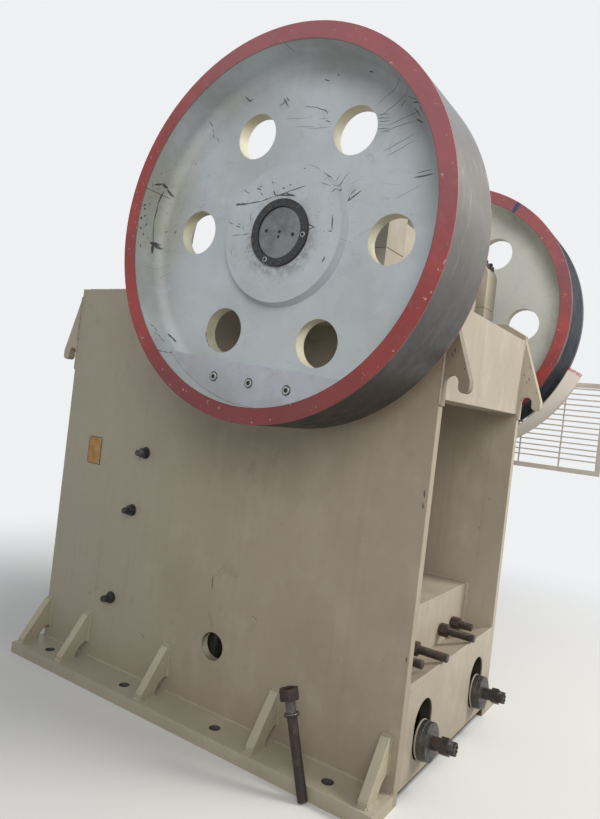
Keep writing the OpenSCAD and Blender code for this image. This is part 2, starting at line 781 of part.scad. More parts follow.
module belt_guard_sheet() {
    r1 = guard_r + guard_t;
    reach = 2 * r1;
    slope = -guard_start;
    color(cream) difference() {
        turned([[guard_r, wheel_in], [r1, wheel_in], [r1, guard_out], [guard_r, guard_out]]);
        translate([0, 0, shaft_z]) rotate([90, 0, 0])
            translate([0, 0, -guard_out - 1]) linear_extrude(guard_out - wheel_in + 2)
                polygon([[0, 0], reach * [cos(slope), sin(slope)], [reach, reach],
                    [-reach, reach], reach * [-cos(slope), sin(slope)]]);
    }
}

module belt_guard_mesh() {
    long = 2 * mesh_half;
    tall = mesh_top_z - mesh_low_z;
    rung_n = floor((tall - mesh_frame) / mesh_pitch);
    post_n = floor(long / mesh_post_pitch) - 1;
    post_0 = -(post_n - 1) / 2 * mesh_post_pitch;
    color(cream) translate([0, guard_out, 0]) union() {
        difference() {
            translate([-mesh_half, 0, mesh_low_z]) cube([long, mesh_bar, tall]);
            translate([mesh_frame - mesh_half, -1, mesh_low_z + mesh_frame])
                cube([long - 2 * mesh_frame, mesh_bar + 2, tall - 2 * mesh_frame]);
        }
        for (i = [1 : rung_n - 1])
            translate([-mesh_half, 0, mesh_top_z - i * mesh_pitch - mesh_bar])
                cube([long, mesh_bar, mesh_bar]);
        for (i = [0 : post_n - 1])
            translate([post_0 + i * mesh_post_pitch, 0, mesh_low_z])
                cube([mesh_bar, mesh_bar, tall]);
    }
}

module belt_guard_brackets() {
    color(cream) translate([0, out_y, shaft_z]) for (a = bracket_angles)
        rotate([0, a, 0]) translate([guard_seat_r - bracket_w, 0, -bracket_w / 2])
            cube([bracket_w, wheel_in + bracket_w - out_y, bracket_w]);
}

// A loose bolt that leans on the edge of the near flange, its foot on the ground
module holding_down_bolt() {
    foot_y = -(out_y + flange_w + anchor_bolt_r + seat);
    lift = anchor_bolt_r * sin(anchor_bolt_lean);
    color(dark_steel) translate([rear_x - anchor_bolt_in, foot_y, lift])
        rotate([0, -anchor_bolt_lean, 0]) union() {
            cylinder(r = anchor_bolt_r, h = anchor_bolt_len);
            translate([0, 0, anchor_bolt_len - anchor_washer_in])
                cylinder(r = anchor_washer_r, h = anchor_washer_t);
            translate([0, 0, anchor_bolt_len + anchor_nut_over - anchor_nut_t]) difference() {
                nut(anchor_nut_af, anchor_nut_t);
                translate([0, 0, anchor_nut_t - anchor_nut_over])
                    cylinder(r = anchor_bolt_r, h = anchor_nut_over + 1);
            }
        }
}

side_plate(false);  // side_plate_near
side_plate(true);  // side_plate_far
front_wall();
front_ribs();
rear_top_beam();
toggle_beam();
rear_lower_beam();
base_flange(false);  // base_flange_near
base_flange(true);  // base_flange_far
gussets(false);  // gussets_near
gussets(true);  // gussets_far
hook(false, false);  // hook_front_near
hook(true, false);  // hook_front_far
hook(false, true);  // hook_rear_near
hook(true, true);  // hook_rear_far
bearing_housing(false);  // bearing_housing_near
bearing_housing(true);  // bearing_housing_far
bearing_cap(false);  // bearing_cap_near
bearing_cap(true);  // bearing_cap_far
bearing(false);  // bearing_near
bearing(true);  // bearing_far
fixed_jaw_plate();
swing_jaw();
swing_jaw_plate();
cheek_plate(false);  // cheek_plate_near
cheek_plate(true);  // cheek_plate_far
toggle_plate();
toggle_seat_rear();
toggle_seat_jaw();
adjusting_studs();
tension_rods();
spring_discs();
cheek_bolts(false);  // cheek_bolts_near
cheek_bolts(true);  // cheek_bolts_far
eccentric_shaft();
color(wheel_white) wheel(false, false);  // flywheel
color(wheel_white) wheel(true, true);  // sheave
lock_ring(false);  // lock_ring_near
lock_ring(true);  // lock_ring_far
counterweight(false);  // counterweight_near
counterweight(true);  // counterweight_far
belt_guard_sheet();
belt_guard_mesh();
belt_guard_brackets();
holding_down_bolt();
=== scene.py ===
"""Jaw crusher: materials, welds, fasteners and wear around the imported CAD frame.

Metres, in the row frame: +X toward the toggle rear, Y along the shaft, +Z up.
"""
import math
import random

import bmesh
import bpy
from mathutils import Matrix, Vector, noise


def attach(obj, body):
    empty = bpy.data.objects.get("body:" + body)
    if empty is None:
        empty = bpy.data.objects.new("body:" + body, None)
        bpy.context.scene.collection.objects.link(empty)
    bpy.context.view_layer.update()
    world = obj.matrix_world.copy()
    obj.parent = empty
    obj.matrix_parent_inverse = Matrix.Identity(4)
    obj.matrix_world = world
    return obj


# Camera, from the photograph's geometry
EYE = Vector((1.6527, -3.2420, 1.6274))
AZIMUTH, PITCH, ROLL = (math.radians(a) for a in (33.2525, -0.1074, 6.6382))
LENS = 28.97

# Sizes and places that the pieces below share with the CAD, in metres and degrees
# Side plates and flanges
IN_Y, OUT_Y = 0.577, 0.625
FRONT_X, REAR_X, FRONT_TOP_Z = -1.742, 0.623, 2.200
EDGE_Z, EDGE_TOP_Z = 1.712, 2.150
ACCESS_X, ACCESS_Z, ACCESS_R = -0.428, 0.380, 0.069
FLANGE_T = 0.062
ANCHOR_X, ANCHOR_Y, ANCHOR_PITCH, ANCHOR_R = -1.529, 0.735, 0.632, 0.027
GUSSET_X = (-1.719, -1.366, -0.726, -0.011, 0.566)
GUSSET_T, GUSSET_TOP_Z, GUSSET_OUT, GUSSET_RELIEF = 0.045, 0.298, 0.175, 0.075
# Front wall with its ribs and posts, and the rear beams
WALL_X, WALL_REAR_X = -1.5003, -1.402
RIB_Z, RIB_REACH, RIB_N, RIB_T, POST_N = 0.100, 2.060, 4, 0.040, 3
BEAM_X, BEAM_REAR_X, BEAM_Z, BEAM_TOP_Z = 0.150, 0.450, 0.395, 0.728
TOP_BEAM_X, TOP_BEAM_Z, TOP_BEAM_TOP_Z = 0.433, 1.734, 2.155
SHELF_IN_Z, SHELF_Z = 0.458, 0.515
# Shaft, bearings and wheels
SHAFT_Z = 2.346
HOUSING_X, HOUSING_Z = 0.3625, 2.040
CAP_BOLT_X, CAP_BOLT_YS, CAP_BOLT_Z = 0.322, (0.622, 0.712), 2.5905
COVER_Y, COVER_SCREW_R = 0.765, 0.268
WHEEL_R, RIM_IN_R, WHEEL_IN_Y, WHEEL_OUT_Y = 0.810, 0.741, 0.771, 1.144
END_Y, LOCK_Y, LOCK_SCREW_R = 1.034, 1.042, 0.1252
WEIGHT_Y, WEIGHT_SCREW_R, WEIGHT_SCREW_GAP, WEIGHT_PHASE = 1.060, 0.641, 0.195, -94.4
# Rods, studs and bolts
ROD_Y, ROD_Z, ROD_TILT = 0.370, 0.209, 5
STUD_YS, STUD_Z = (-0.375, -0.200, 0.200, 0.375), 0.538
STUD_LENGTHS = (0.142, 0.195, 0.191, 0.118)
CHEEK_BOLTS = ((-1.1944, 0.436), (-1.1057, 0.951), (-1.0489, 1.281))
LOOSE_FOOT, LOOSE_LEAN = (0.320, -0.8473, 0.0064), 17
# Rating plate, which only this script holds
LABEL_X, LABEL_Z, LABEL_W, LABEL_H = -1.473, 1.242, 0.114, 0.162

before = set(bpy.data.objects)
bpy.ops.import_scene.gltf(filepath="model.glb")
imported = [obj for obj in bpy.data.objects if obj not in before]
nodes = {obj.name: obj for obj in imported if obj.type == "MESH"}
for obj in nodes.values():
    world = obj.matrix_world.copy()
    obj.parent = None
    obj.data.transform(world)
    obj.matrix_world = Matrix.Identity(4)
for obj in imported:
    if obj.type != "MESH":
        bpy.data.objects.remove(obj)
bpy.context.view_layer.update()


def new_object(name, data):
    obj = bpy.data.objects.new(name, data)
    bpy.context.scene.collection.objects.link(obj)
    return obj


def modify(obj, name, kind, **settings):
    modifier = obj.modifiers.new(name, kind)
    for key, value in settings.items():
        setattr(modifier, key, value)


# Camera
def make_camera():
    a, e, r = AZIMUTH, PITCH, ROLL
    look = Vector((-math.sin(a) * math.cos(e), math.cos(a) * math.cos(e), math.sin(e)))
    right = Vector((math.cos(a), math.sin(a), 0))
    up = right.cross(look)
    x = math.cos(r) * right + math.sin(r) * up
    y = -math.sin(r) * right + math.cos(r) * up
    turn = Matrix((x, y, -look)).transposed()
    data = bpy.data.cameras.new("camera")
    data.sensor_width = 36
    data.lens = LENS
    data.clip_start, data.clip_end = 0.05, 200
    cam = new_object("camera", data)
    cam.matrix_world = Matrix.Translation(EYE) @ turn.to_4x4()
    bpy.context.scene.camera = cam


make_camera()


# Node graphs
class Graph:
    """A material and short calls that add nodes to it; a call returns an output socket."""

    def __init__(self, name):
        self.material = bpy.data.materials.new(name)
        self.material.use_nodes = True
        self.tree = self.material.node_tree
        self.tree.nodes.clear()
        self.coord = self.add("ShaderNodeTexCoord").outputs["Object"]
        self.x, self.y, self.z = self.add("ShaderNodeSeparateXYZ", {0: self.coord}).outputs

    def link(self, value, socket):
        if isinstance(value, bpy.types.NodeSocket):
            self.tree.links.new(value, socket)
        elif socket.type == "RGBA" and len(value) == 3:
            socket.default_value = (*value, 1)
        else:
            socket.default_value = value

    def add(self, kind, inputs=(), **settings):
        """A new node, with values or links for its inputs by name or number."""
        node = self.tree.nodes.new(kind)
        for key, value in settings.items():
            setattr(node, key, value)
        for key, value in dict(inputs).items():
            self.link(value, node.inputs[key])
        return node

    def math(self, operation, *values):
        return self.add("ShaderNodeMath", enumerate(values), operation=operation).outputs[0]

    def plus(self, a, b):
        return self.math("ADD", a, b)

    def times(self, a, b):
        return self.math("MULTIPLY", a, b)

    def most(self, a, b):
        return self.math("MAXIMUM", a, b)

    def size(self, a):
        return self.math("ABSOLUTE", a)

    def distance(self, a, a0, b, b0):
        """Distance of the point (a, b) from (a0, b0)."""
        a, b = self.plus(a, -a0), self.plus(b, -b0)
        return self.math("SQRT", self.plus(self.times(a, a), self.times(b, b)))

    def step(self, value, low, high, out_low=0.0, out_high=1.0):
        """Smooth ramp from out_low at low to out_high at high."""
        inputs = enumerate((value, low, high, out_low, out_high))
        return self.add("ShaderNodeMapRange", inputs, interpolation_type="SMOOTHSTEP").outputs[0]

    def vector(self, x, y, z):
        return self.add("ShaderNodeCombineXYZ", enumerate((x, y, z))).outputs[0]

    def scaled(self, sx, sy, sz, shift=0.0):
        inputs = {0: self.coord, "Scale": (sx, sy, sz), "Location": (shift, shift * 0.7, shift * 1.3)}
        return self.add("ShaderNodeMapping", inputs).outputs[0]

    def noise(self, scale, detail=3.0, rough=0.55, at=None, bend=0.0, shift=0.0):
        at = at or (self.scaled(1, 1, 1, shift) if shift else self.coord)
        inputs = {"Vector": at, "Scale": scale, "Detail": detail, "Roughness": rough, "Distortion": bend}
        return self.add("ShaderNodeTexNoise", inputs).outputs[0]

    def mix(self, factor, a, b):
        return self.add("ShaderNodeMix", {0: factor, 6: a, 7: b}, data_type="RGBA").outputs[2]

    def over(self, color, mask, amount, tint):
        """Tint laid over a colour by an amount where the mask is 1."""
        return self.mix(self.times(mask, amount), color, tint)

    def normal_part(self, axis):
        """Size of one part of the object-space normal."""
        normal = self.add("ShaderNodeNewGeometry").outputs["True Normal"]
        turned = self.add("ShaderNodeVectorTransform", {0: normal}, vector_type="NORMAL",
                          convert_from="WORLD", convert_to="OBJECT")
        return self.size(self.add("ShaderNodeSeparateXYZ", {0: turned.outputs[0]}).outputs[axis])

    def radius(self):
        """Distance from the shaft line."""
        return self.distance(self.x, 0, self.z, SHAFT_Z)

    def edge(self, width=0.006):
        """1 near sharp edges, 0 on open faces."""
        bevel = self.add("ShaderNodeBevel", {"Radius": width}, samples=6).outputs[0]
        normal = self.add("ShaderNodeNewGeometry").outputs["Normal"]
        dot = self.add("ShaderNodeVectorMath", {0: bevel, 1: normal}, operation="DOT_PRODUCT")
        return self.step(dot.outputs["Value"], 0.995, 0.86)

    def strokes(self, marks, plane="XZ", bend=0.003, fray=0.5):
        """1 on tapered marks: across, up, half length and half width in mm, angle in degrees."""
        wave = self.add("ShaderNodeTexNoise", {"Vector": self.coord, "Scale": 34}).outputs["Color"]
        place = self.add("ShaderNodeVectorMath", {0: wave, 1: (2 * bend,) * 3, 2: self.coord},
                         operation="MULTIPLY_ADD").outputs[0]
        best = None
        for i, mark in enumerate(marks):
            if i and i % 14 == 0:
                # ties each group to the one before, so that few values are held at a time
                place = self.add("ShaderNodeVectorMath", {0: best, 1: (1e-6,) * 3, 2: place},
                                 operation="MULTIPLY_ADD").outputs[0]
            u, z, half, width = (v / 1000 for v in mark[:4])
            turn = math.radians(mark[4])
            if plane == "XZ":
                at, spin, size = (u + bend, 0, z + bend), (0, -turn, 0), (half, 1000, width)
            else:
                at, spin, size = (0, u + bend, z + bend), (turn, 0, 0), (1000, half, width)
            spot = self.add("ShaderNodeMapping", {0: place, "Location": at, "Rotation": spin, "Scale": size},
                            vector_type="TEXTURE").outputs[0]
            gap = self.add("ShaderNodeVectorMath", {0: spot}, operation="LENGTH").outputs["Value"]
            best = gap if best is None else self.math("MINIMUM", best, gap)
        ragged = self.plus(best, self.times(self.noise(110, 4, 0.7), fray))
        return self.step(ragged, 1.0 + fray * 0.62, 0.78 + fray * 0.38)

    def scratches(self, angle, along, across, low, high, shift=0.0):
        """Fine parallel scratches in XZ at an angle, broken up along their length."""
        inputs = {0: self.coord, "Location": (shift, 0, shift), "Rotation": (0, -math.radians(angle), 0),
                  "Scale": (1 / along, 1000, 1 / across)}
        turned = self.add("ShaderNodeMapping", inputs, vector_type="TEXTURE").outputs[0]
        return self.step(self.noise(1, 2, 0.5, at=turned), low, high)

    def surface(self, color, roughness, height, depth, metallic=0.0):
        """The finished material, with its normal turned by a height of so many metres."""
        bump = self.add("ShaderNodeBump", {"Strength": 1.0, "Distance": depth, "Height": height}).outputs[0]
        inputs = {"Base Color": color, "Roughness": roughness, "Metallic": metallic, "Normal": bump}
        shader = self.add("ShaderNodeBsdfPrincipled", inputs)
        self.add("ShaderNodeOutputMaterial", {0: shader.outputs[0]})
        return self.material


# The tones of a frame paint are its base, a darker and a paler colour
CREAM = ((0.490, 0.436, 0.345), (0.415, 0.365, 0.282), (0.575, 0.530, 0.440))
DUST = (0.300, 0.240, 0.168)
SOOT = (0.160, 0.1295, 0.094)
RUST = (0.115, 0.045, 0.020)
WHITE = (0.590, 0.640, 0.690)
WHITE_DARK = (0.480, 0.515, 0.545)
RED = (0.370, 0.042, 0.034)


def dirty_paint(g, tones, green, dirt, floor):
    """Mottled paint with streaks and smudges, darker below the height called floor, as dust and as painted
    shade.
    """
    base, deep, pale = tones
    color = g.mix(g.step(g.noise(1.3, 4, 0.6), 0.30, 0.72), base, deep)
    faded = g.noise(5.5, 5, 0.62, at=g.scaled(1, 1, 0.6, 4))
    color = g.mix(g.step(faded, 0.45, 0.75, 0, 0.55), color, pale)
    if green:
        tint = g.step(g.plus(g.x, g.times(g.noise(1.1, 3), 0.9)), 0.2, -1.1)
        color = g.over(color, tint, green, (0.400, 0.378, 0.295))
    streak = g.noise(1.0, 5, 0.6, at=g.scaled(26, 26, 1.1, 2))
    color = g.over(color, g.step(streak, 0.52, 0.80), 0.30 * dirt, DUST)
    smudge = g.times(g.step(g.noise(9, 6, 0.7, bend=0.6), 0.55, 0.78),
                     g.step(g.noise(1.7, 2, shift=9), 0.42, 0.68))
    color = g.over(color, smudge, 0.45 * dirt, SOOT)
    # darker towards the bottom: dust, and painted shade low down
    low = g.step(g.plus(g.z, g.times(g.noise(6, 4), 0.22)), floor, 0.05, 0, 0.60)
    return g.over(color, low, 0.70 * dirt, (0.270, 0.212, 0.150))


def inside_painted_shade(g):
    """1 on the toggle beam and the low beam between the side plates, behind their rear faces: the mask of
    painted shade inside the frame.
    """
    beam = g.times(g.step(g.x, BEAM_REAR_X - 0.002, BEAM_REAR_X - 0.012),
                   g.step(g.z, BEAM_TOP_Z - 0.006, BEAM_TOP_Z - 0.038))
    low = g.times(g.step(g.x, REAR_X - 0.0015, REAR_X - 0.010),
                  g.step(g.z, SHELF_IN_Z - 0.018, SHELF_IN_Z - 0.043))
    between = g.step(g.size(g.y), IN_Y + 0.0015, IN_Y - 0.0005)
    behind_wall = g.step(g.x, -1.490, -1.440)
    return g.times(g.times(g.most(beam, low), between), behind_wall)


def frame_paint(name, marks=(), dirt=1.0, floor=0.45, rust=1.0, green=0.0, tones=CREAM,
                tip=False, access=False, anchors=False, relief=False):
    """Cream paint over plate, with painted shade in its bores and inside the frame, rust at edges and specks.
    """
    g = Graph(name)
    wide = g.size(g.y)
    color = dirty_paint(g, tones, green, dirt, floor)
    if access:
        # painted shade in the access hole
        gap = g.distance(g.x, ACCESS_X, g.z, ACCESS_Z)
        shade = g.step(gap, ACCESS_R + 0.0022, ACCESS_R + 0.0002)
        color = g.over(color, shade, 0.62, (0.105, 0.115, 0.080))
    if marks:
        color = g.over(color, g.strokes(marks), 0.82, (0.045, 0.038, 0.032))
    if anchors:
        # painted shade in the anchor bolt holes
        along = g.math("WRAP", g.x, ANCHOR_X + ANCHOR_PITCH / 2, ANCHOR_X - ANCHOR_PITCH / 2)
        gap = g.distance(along, ANCHOR_X, wide, ANCHOR_Y)
        shade = g.step(gap, ANCHOR_R + 0.0020, ANCHOR_R + 0.0002)
        color = g.over(color, shade, 0.88, (0.045, 0.050, 0.060))
    # painted shade: the frame's inside, behind the rear faces, darkened near black
    color = g.over(color, inside_painted_shade(g), 0.93, (0.022, 0.021, 0.015))
    if relief:
        # painted shade in the gusset relief
        gap = g.distance(wide, OUT_Y, g.z, FLANGE_T)
        shade = g.step(gap, GUSSET_RELIEF + 0.010, GUSSET_RELIEF + 0.001)
        color = g.over(color, shade, 0.80, (0.070, 0.058, 0.040))
    if tip:
        end = g.step(g.plus(g.z, g.times(g.noise(30, 3), 0.05)), 2.045, 2.055)
        color = g.mix(g.times(end, g.step(g.noise(40, 3), 0.40, 0.50)), color, RED)
    specks = g.times(g.step(g.noise(70, 4, 0.6), 0.66, 0.73),
                     g.step(g.noise(2.6, 3, shift=5), 0.50, 0.66))
    chips = g.times(g.edge(), g.step(g.noise(34, 4, 0.7), 0.56, 0.64))
    bare = g.most(g.times(specks, 0.8 * rust), g.times(chips, 0.75 * rust))
    color = g.mix(bare, color, g.mix(g.noise(60, 3), RUST, (0.20, 0.11, 0.06)))
    rough = g.plus(g.step(g.noise(18, 4), 0.3, 0.7, 0.46, 0.60), g.times(bare, 0.25))
    sag = g.plus(g.times(g.noise(2.2, 3), 2.2), g.times(bare, -0.35))
    return g.surface(color, rough, g.plus(g.times(g.noise(420, 2), 0.10), sag), 0.0012)


def wheel_ground(g, r, base, deep):
    """The wheel's paint with dirt and painted shade toward the rim, grey rubs, fine scratches, flecks and hub
    grease.
    """
    color = g.mix(g.step(g.noise(2.1, 4, 0.6), 0.32, 0.72), base, deep)
    washed = g.step(g.noise(8, 5, 0.65, bend=0.4), 0.50, 0.74, 0, 0.35)
    color = g.mix(washed, color, (0.68, 0.72, 0.74))
    # darker toward the rim: dirt, and painted shade in the corner of web and rim
    rim_dirt_and_shade = g.times(g.step(r, 0.58, 0.74), g.step(g.noise(3.4, 5, 0.62), 0.34, 0.66))
    color = g.over(color, rim_dirt_and_shade, 0.55, (0.330, 0.325, 0.285))
    grey = g.times(g.step(g.noise(14, 6, 0.72, shift=3), 0.52, 0.72),
                   g.step(g.noise(2.8, 3, shift=7), 0.45, 0.66))
    color = g.over(color, grey, 0.34, (0.20, 0.20, 0.20))
    fine = g.most(g.scratches(24, 5, 210, 0.665, 0.70),
                  g.scratches(-8, 7, 260, 0.675, 0.71, 3.1))
    fine = g.times(fine, g.step(g.noise(3.3, 3, shift=13), 0.50, 0.60))
    color = g.over(color, fine, 0.50, (0.13, 0.13, 0.14))
    fleck = g.times(g.step(g.noise(105, 4, 0.7, bend=0.8), 0.625, 0.675),
                    g.plus(g.times(g.step(r, 0.36, 0.15), 0.75), 0.06))
    color = g.mix(fleck, color, (0.050, 0.050, 0.054))
    below = g.step(g.z, SHAFT_Z + 0.06, SHAFT_Z - 0.12, 0.35, 1.0)
    grease = g.times(g.step(r, 0.222, 0.148), g.step(g.noise(24, 5, 0.7), 0.36, 0.62))
    return g.over(color, g.times(grease, below), 0.62, (0.10, 0.095, 0.07))


def wheel_wear(g, color, marks):
    """A damp green low on the near wheel, a stained flank, and black scuffs on face and tread."""
    green = g.times(g.step(g.z, 2.20, 1.90), g.step(g.noise(3.7, 3), 0.25, 0.60))
    color = g.over(color, green, 0.45, (0.590, 0.635, 0.610))
    patch = g.times(g.step(g.x, -0.46, -0.70), g.step(g.z, 2.16, 2.34))
    patch = g.times(patch, g.step(g.noise(4, 3), 0.25, 0.55))
    color = g.over(color, patch, 0.55, (0.430, 0.425, 0.330))
    blot = g.times(patch, g.step(g.noise(48, 5, 0.7, bend=0.6), 0.60, 0.66))
    color = g.over(color, blot, 0.85, (0.075, 0.07, 0.06))
    drips = g.times(g.strokes(RIM_MARKS, "YZ", 0.004, 0.8), g.step(g.x, -0.50, -0.54))
    return g.over(color, g.most(g.strokes(marks), drips), 0.92, (0.030, 0.030, 0.034))


def rim_red(g, far):
    """Red paint of a rim face, brighter on the far wheel as painted light, paler toward the top right with a
    fine haze, darker low down as painted shade, with pale chips.
    """
    # painted light: the far wheel's red is a brighter copy
    base_red = (0.560, 0.062, 0.048) if far else RED
    red = g.mix(g.step(g.noise(5, 4), 0.35, 0.7), base_red, (0.270, 0.033, 0.029))
    haze = g.plus(g.step(g.plus(g.z, g.times(g.x, 0.5)), 2.30, 3.05, 0.08, 0.55),
                  g.step(g.noise(30, 5, 0.7), 0.5, 0.75, 0, 0.18))
    red = g.mix(haze, red, (0.400, 0.185, 0.215))
    # painted shade: the red darkens low down
    red = g.mix(g.step(g.z, 2.00, 1.60, 0, 0.70), red, (0.150, 0.036, 0.042))
    if far:
        red = g.mix(g.strokes(FAR_MARKS, fray=0.7), red, (0.075, 0.080, 0.190))
    chip = g.step(g.noise(44, 4, 0.66, shift=11), 0.630 if far else 0.665, 0.69)
    return g.over(red, chip, 0.8, (0.55, 0.50, 0.40))


def near_tread(g):
    """Colour and lines of the bare turned tread, which is cloudy and rubbed, and darkened to black underneath
    as painted shade.
    """
    around = g.vector(g.times(g.x, 1.2), g.times(g.y, 150), g.times(g.z, 1.2))
    lines = g.noise(1, 4, 0.55, at=around)
    steel = g.mix(g.step(g.z, 2.40, 2.80), (0.165, 0.155, 0.145), (0.150, 0.155, 0.165))
    steel = g.mix(g.step(lines, 0.40, 0.66, 0, 0.35), steel, (0.215, 0.210, 0.205))
    cloud = g.noise(3.2, 5, 0.62, at=g.scaled(1, 0.5, 1, 4))
    steel = g.mix(g.step(cloud, 0.42, 0.70, 0, 0.55), steel, (0.105, 0.093, 0.082))
    rub = g.noise(11, 5, 0.7, at=g.scaled(0.5, 3.2, 0.5, 6))
    steel = g.mix(g.step(rub, 0.56, 0.70, 0, 0.55), steel, (0.38, 0.36, 0.32))
    # painted shade: the tread darkens to near black low down
    steel = g.mix(g.step(g.z, 2.45, 1.75, 0, 0.90), steel, (0.023, 0.019, 0.018))
    return g.mix(g.step(g.z, 1.72, 1.56, 0, 0.60), steel, (0.010, 0.010, 0.009)), lines


def far_tread(g):
    """Colour and lines of the far wheel's dark painted tread."""
    steel = g.mix(g.step(g.noise(7, 5, 0.65), 0.4, 0.7), (0.026, 0.030, 0.044), (0.050, 0.052, 0.066))
    return steel, g.noise(20, 3)


def wheel_paint(name, base, deep, marks=(), far=False, bores=True):
    """Paint on a wheel's web, bright in its bores as their own paint and as painted light, red rim faces and
    a bare or dark tread.
    """
    g = Graph(name)
    r = g.radius()
    color = wheel_ground(g, r, base, deep)
    if marks:
        color = wheel_wear(g, color, marks)
    if bores:
        # bores painted bright: their own paint, and painted light on their walls
        bore = g.times(g.times(g.step(r, 0.375, 0.380), g.step(r, 0.625, 0.620)),
                       g.step(g.normal_part(1), 0.60, 0.35))
        cream = g.mix(g.step(g.noise(14, 4), 0.4, 0.7), (0.720, 0.690, 0.550), (0.640, 0.600, 0.440))
        color = g.mix(bore, color, cream)
    side = g.size(g.y)
    faces = g.most(g.step(side, WHEEL_OUT_Y - 0.0055, WHEEL_OUT_Y - 0.0035),
                   g.step(side, WHEEL_IN_Y + 0.0045, WHEEL_IN_Y + 0.0025))
    rim = g.step(r, RIM_IN_R - 0.0005, RIM_IN_R + 0.0010)
    tread = g.times(rim, g.math("SUBTRACT", 1.0, faces))
    if not far:
        tread = g.times(tread, g.step(r, WHEEL_R - 0.033, WHEEL_R - 0.031))
    steel, lines = far_tread(g) if far else near_tread(g)
    color = g.mix(tread, color, steel)
    color = g.mix(g.times(rim, faces), color, rim_red(g, far))
    line = g.times(g.step(r, RIM_IN_R + 0.0040, RIM_IN_R + 0.0015),
                   g.step(r, RIM_IN_R - 0.0015, RIM_IN_R))
    color = g.over(color, g.times(line, faces), 0.55, (0.05, 0.03, 0.03))
    rough = g.plus(g.step(g.noise(16, 4), 0.3, 0.7, 0.44, 0.58), g.times(tread, -0.05))
    height = g.plus(g.times(g.noise(330, 2), 0.12), g.times(g.noise(28, 4, 0.6), 0.50))
    height = g.plus(g.times(height, g.plus(g.times(tread, -0.8), 1)), g.times(g.times(lines, tread), 0.15))
    return g.surface(color, rough, height, 0.0011, g.times(tread, 0.15 if far else 0.45))


def dark_steel(name, base=(0.040, 0.036, 0.034), rust=0.5, metal=0.55, scale=1.0):
    """Oiled dark steel with brown rust in patches and worn edges."""
    g = Graph(name)
    lit = tuple(c * 1.9 for c in base)
    color = g.mix(g.step(g.noise(24 * scale, 5, 0.62), 0.35, 0.7), base, lit)
    brown = g.step(g.noise(13 * scale, 6, 0.7, shift=3), 0.50, 0.66)
    browns = g.mix(g.noise(90, 3), (0.085, 0.038, 0.020), (0.16, 0.085, 0.050))
    color = g.over(color, brown, rust, browns)
    shine = g.times(g.edge(0.003), g.step(g.noise(50, 3), 0.45, 0.6))
    color = g.over(color, shine, 0.6, (0.27, 0.26, 0.25))
    rough = g.plus(g.step(g.noise(40, 4), 0.3, 0.7, 0.36, 0.58), g.times(brown, 0.22 * rust))
    height = g.plus(g.times(g.noise(260, 4), 0.30), g.times(brown, 0.30))
    return g.surface(color, rough, height, 0.0008, metal)


def shaft_steel(name):
    """Turned face of a shaft end: fine rings, oil haze."""
    g = Graph(name)
    rings = g.noise(1, 3, at=g.vector(g.times(g.radius(), 900), g.times(g.y, 900), 0.0))
    haze = g.step(g.noise(11, 4, 0.6), 0.35, 0.7)
    color = g.mix(haze, (0.225, 0.230, 0.238), (0.150, 0.153, 0.160))
    color = g.mix(g.step(g.noise(21, 5, 0.7), 0.56, 0.72, 0, 0.6), color, (0.050, 0.047, 0.045))
    rough = g.step(g.plus(haze, g.times(rings, 0.3)), 0.2, 1.1, 0.40, 0.56)
    height = g.plus(g.times(rings, 0.35), g.times(g.noise(30, 3), 0.4))
    return g.surface(color, rough, height, 0.0005, 0.7)


def jaw_steel(name):
    """Manganese steel casting: dull, sandy skin, bright on the crests, stone dust in the roots."""
    g = Graph(name)
    color = g.mix(g.step(g.noise(8, 5, 0.65), 0.35, 0.7), (0.085, 0.078, 0.072), (0.150, 0.135, 0.120))
    dust = g.step(g.noise(3.2, 5, 0.7, at=g.scaled(1, 1, 0.4, 2)), 0.42, 0.68)
    color = g.over(color, dust, 0.55, (0.25, 0.205, 0.155))
    color = g.over(color, g.edge(0.008), 0.6, (0.34, 0.33, 0.32))
    rust = g.step(g.noise(22, 6, 0.7), 0.57, 0.67)
    color = g.over(color, rust, 0.6, (0.15, 0.065, 0.03))
    height = g.plus(g.times(g.noise(130, 4, 0.7), 0.7), g.times(g.noise(16, 4), 0.9))
    return g.surface(color, g.step(dust, 0, 1, 0.48, 0.8), height, 0.0022, 0.45)


def plate_label(name):
    """A blank rating plate: thin anodised sheet gone yellow-brown, dark at its edge."""
    g = Graph(name)
    color = g.mix(g.step(g.noise(20, 4), 0.35, 0.7), (0.330, 0.165, 0.045), (0.420, 0.245, 0.080))
    color = g.mix(g.step(g.noise(60, 5, 0.7), 0.56, 0.66, 0, 0.7), color, (0.15, 0.070, 0.030))
    across, up = g.size(g.plus(g.x, -LABEL_X)), g.size(g.plus(g.z, -LABEL_Z))
    rim = g.most(g.step(across, LABEL_W / 2 - 0.010, LABEL_W / 2 - 0.002),
                 g.step(up, LABEL_H / 2 - 0.010, LABEL_H / 2 - 0.002))
    color = g.over(color, rim, 0.75, (0.085, 0.050, 0.026))
    return g.surface(color, g.step(g.noise(30, 3), 0.3, 0.7, 0.35, 0.5), g.noise(40, 3), 0.0004, 0.35)


def flat_color(name, color, rough, metallic=0.0):
    """One tone with a fine grain."""
    g = Graph(name)
    shade = g.mix(g.step(g.noise(60, 4), 0.3, 0.7), color, tuple(c * 0.72 for c in color))
    gloss = g.step(g.noise(35, 3), 0.3, 0.7, rough - 0.06, rough + 0.06)
    return g.surface(shade, gloss, g.noise(300, 3), 0.0004, metallic)
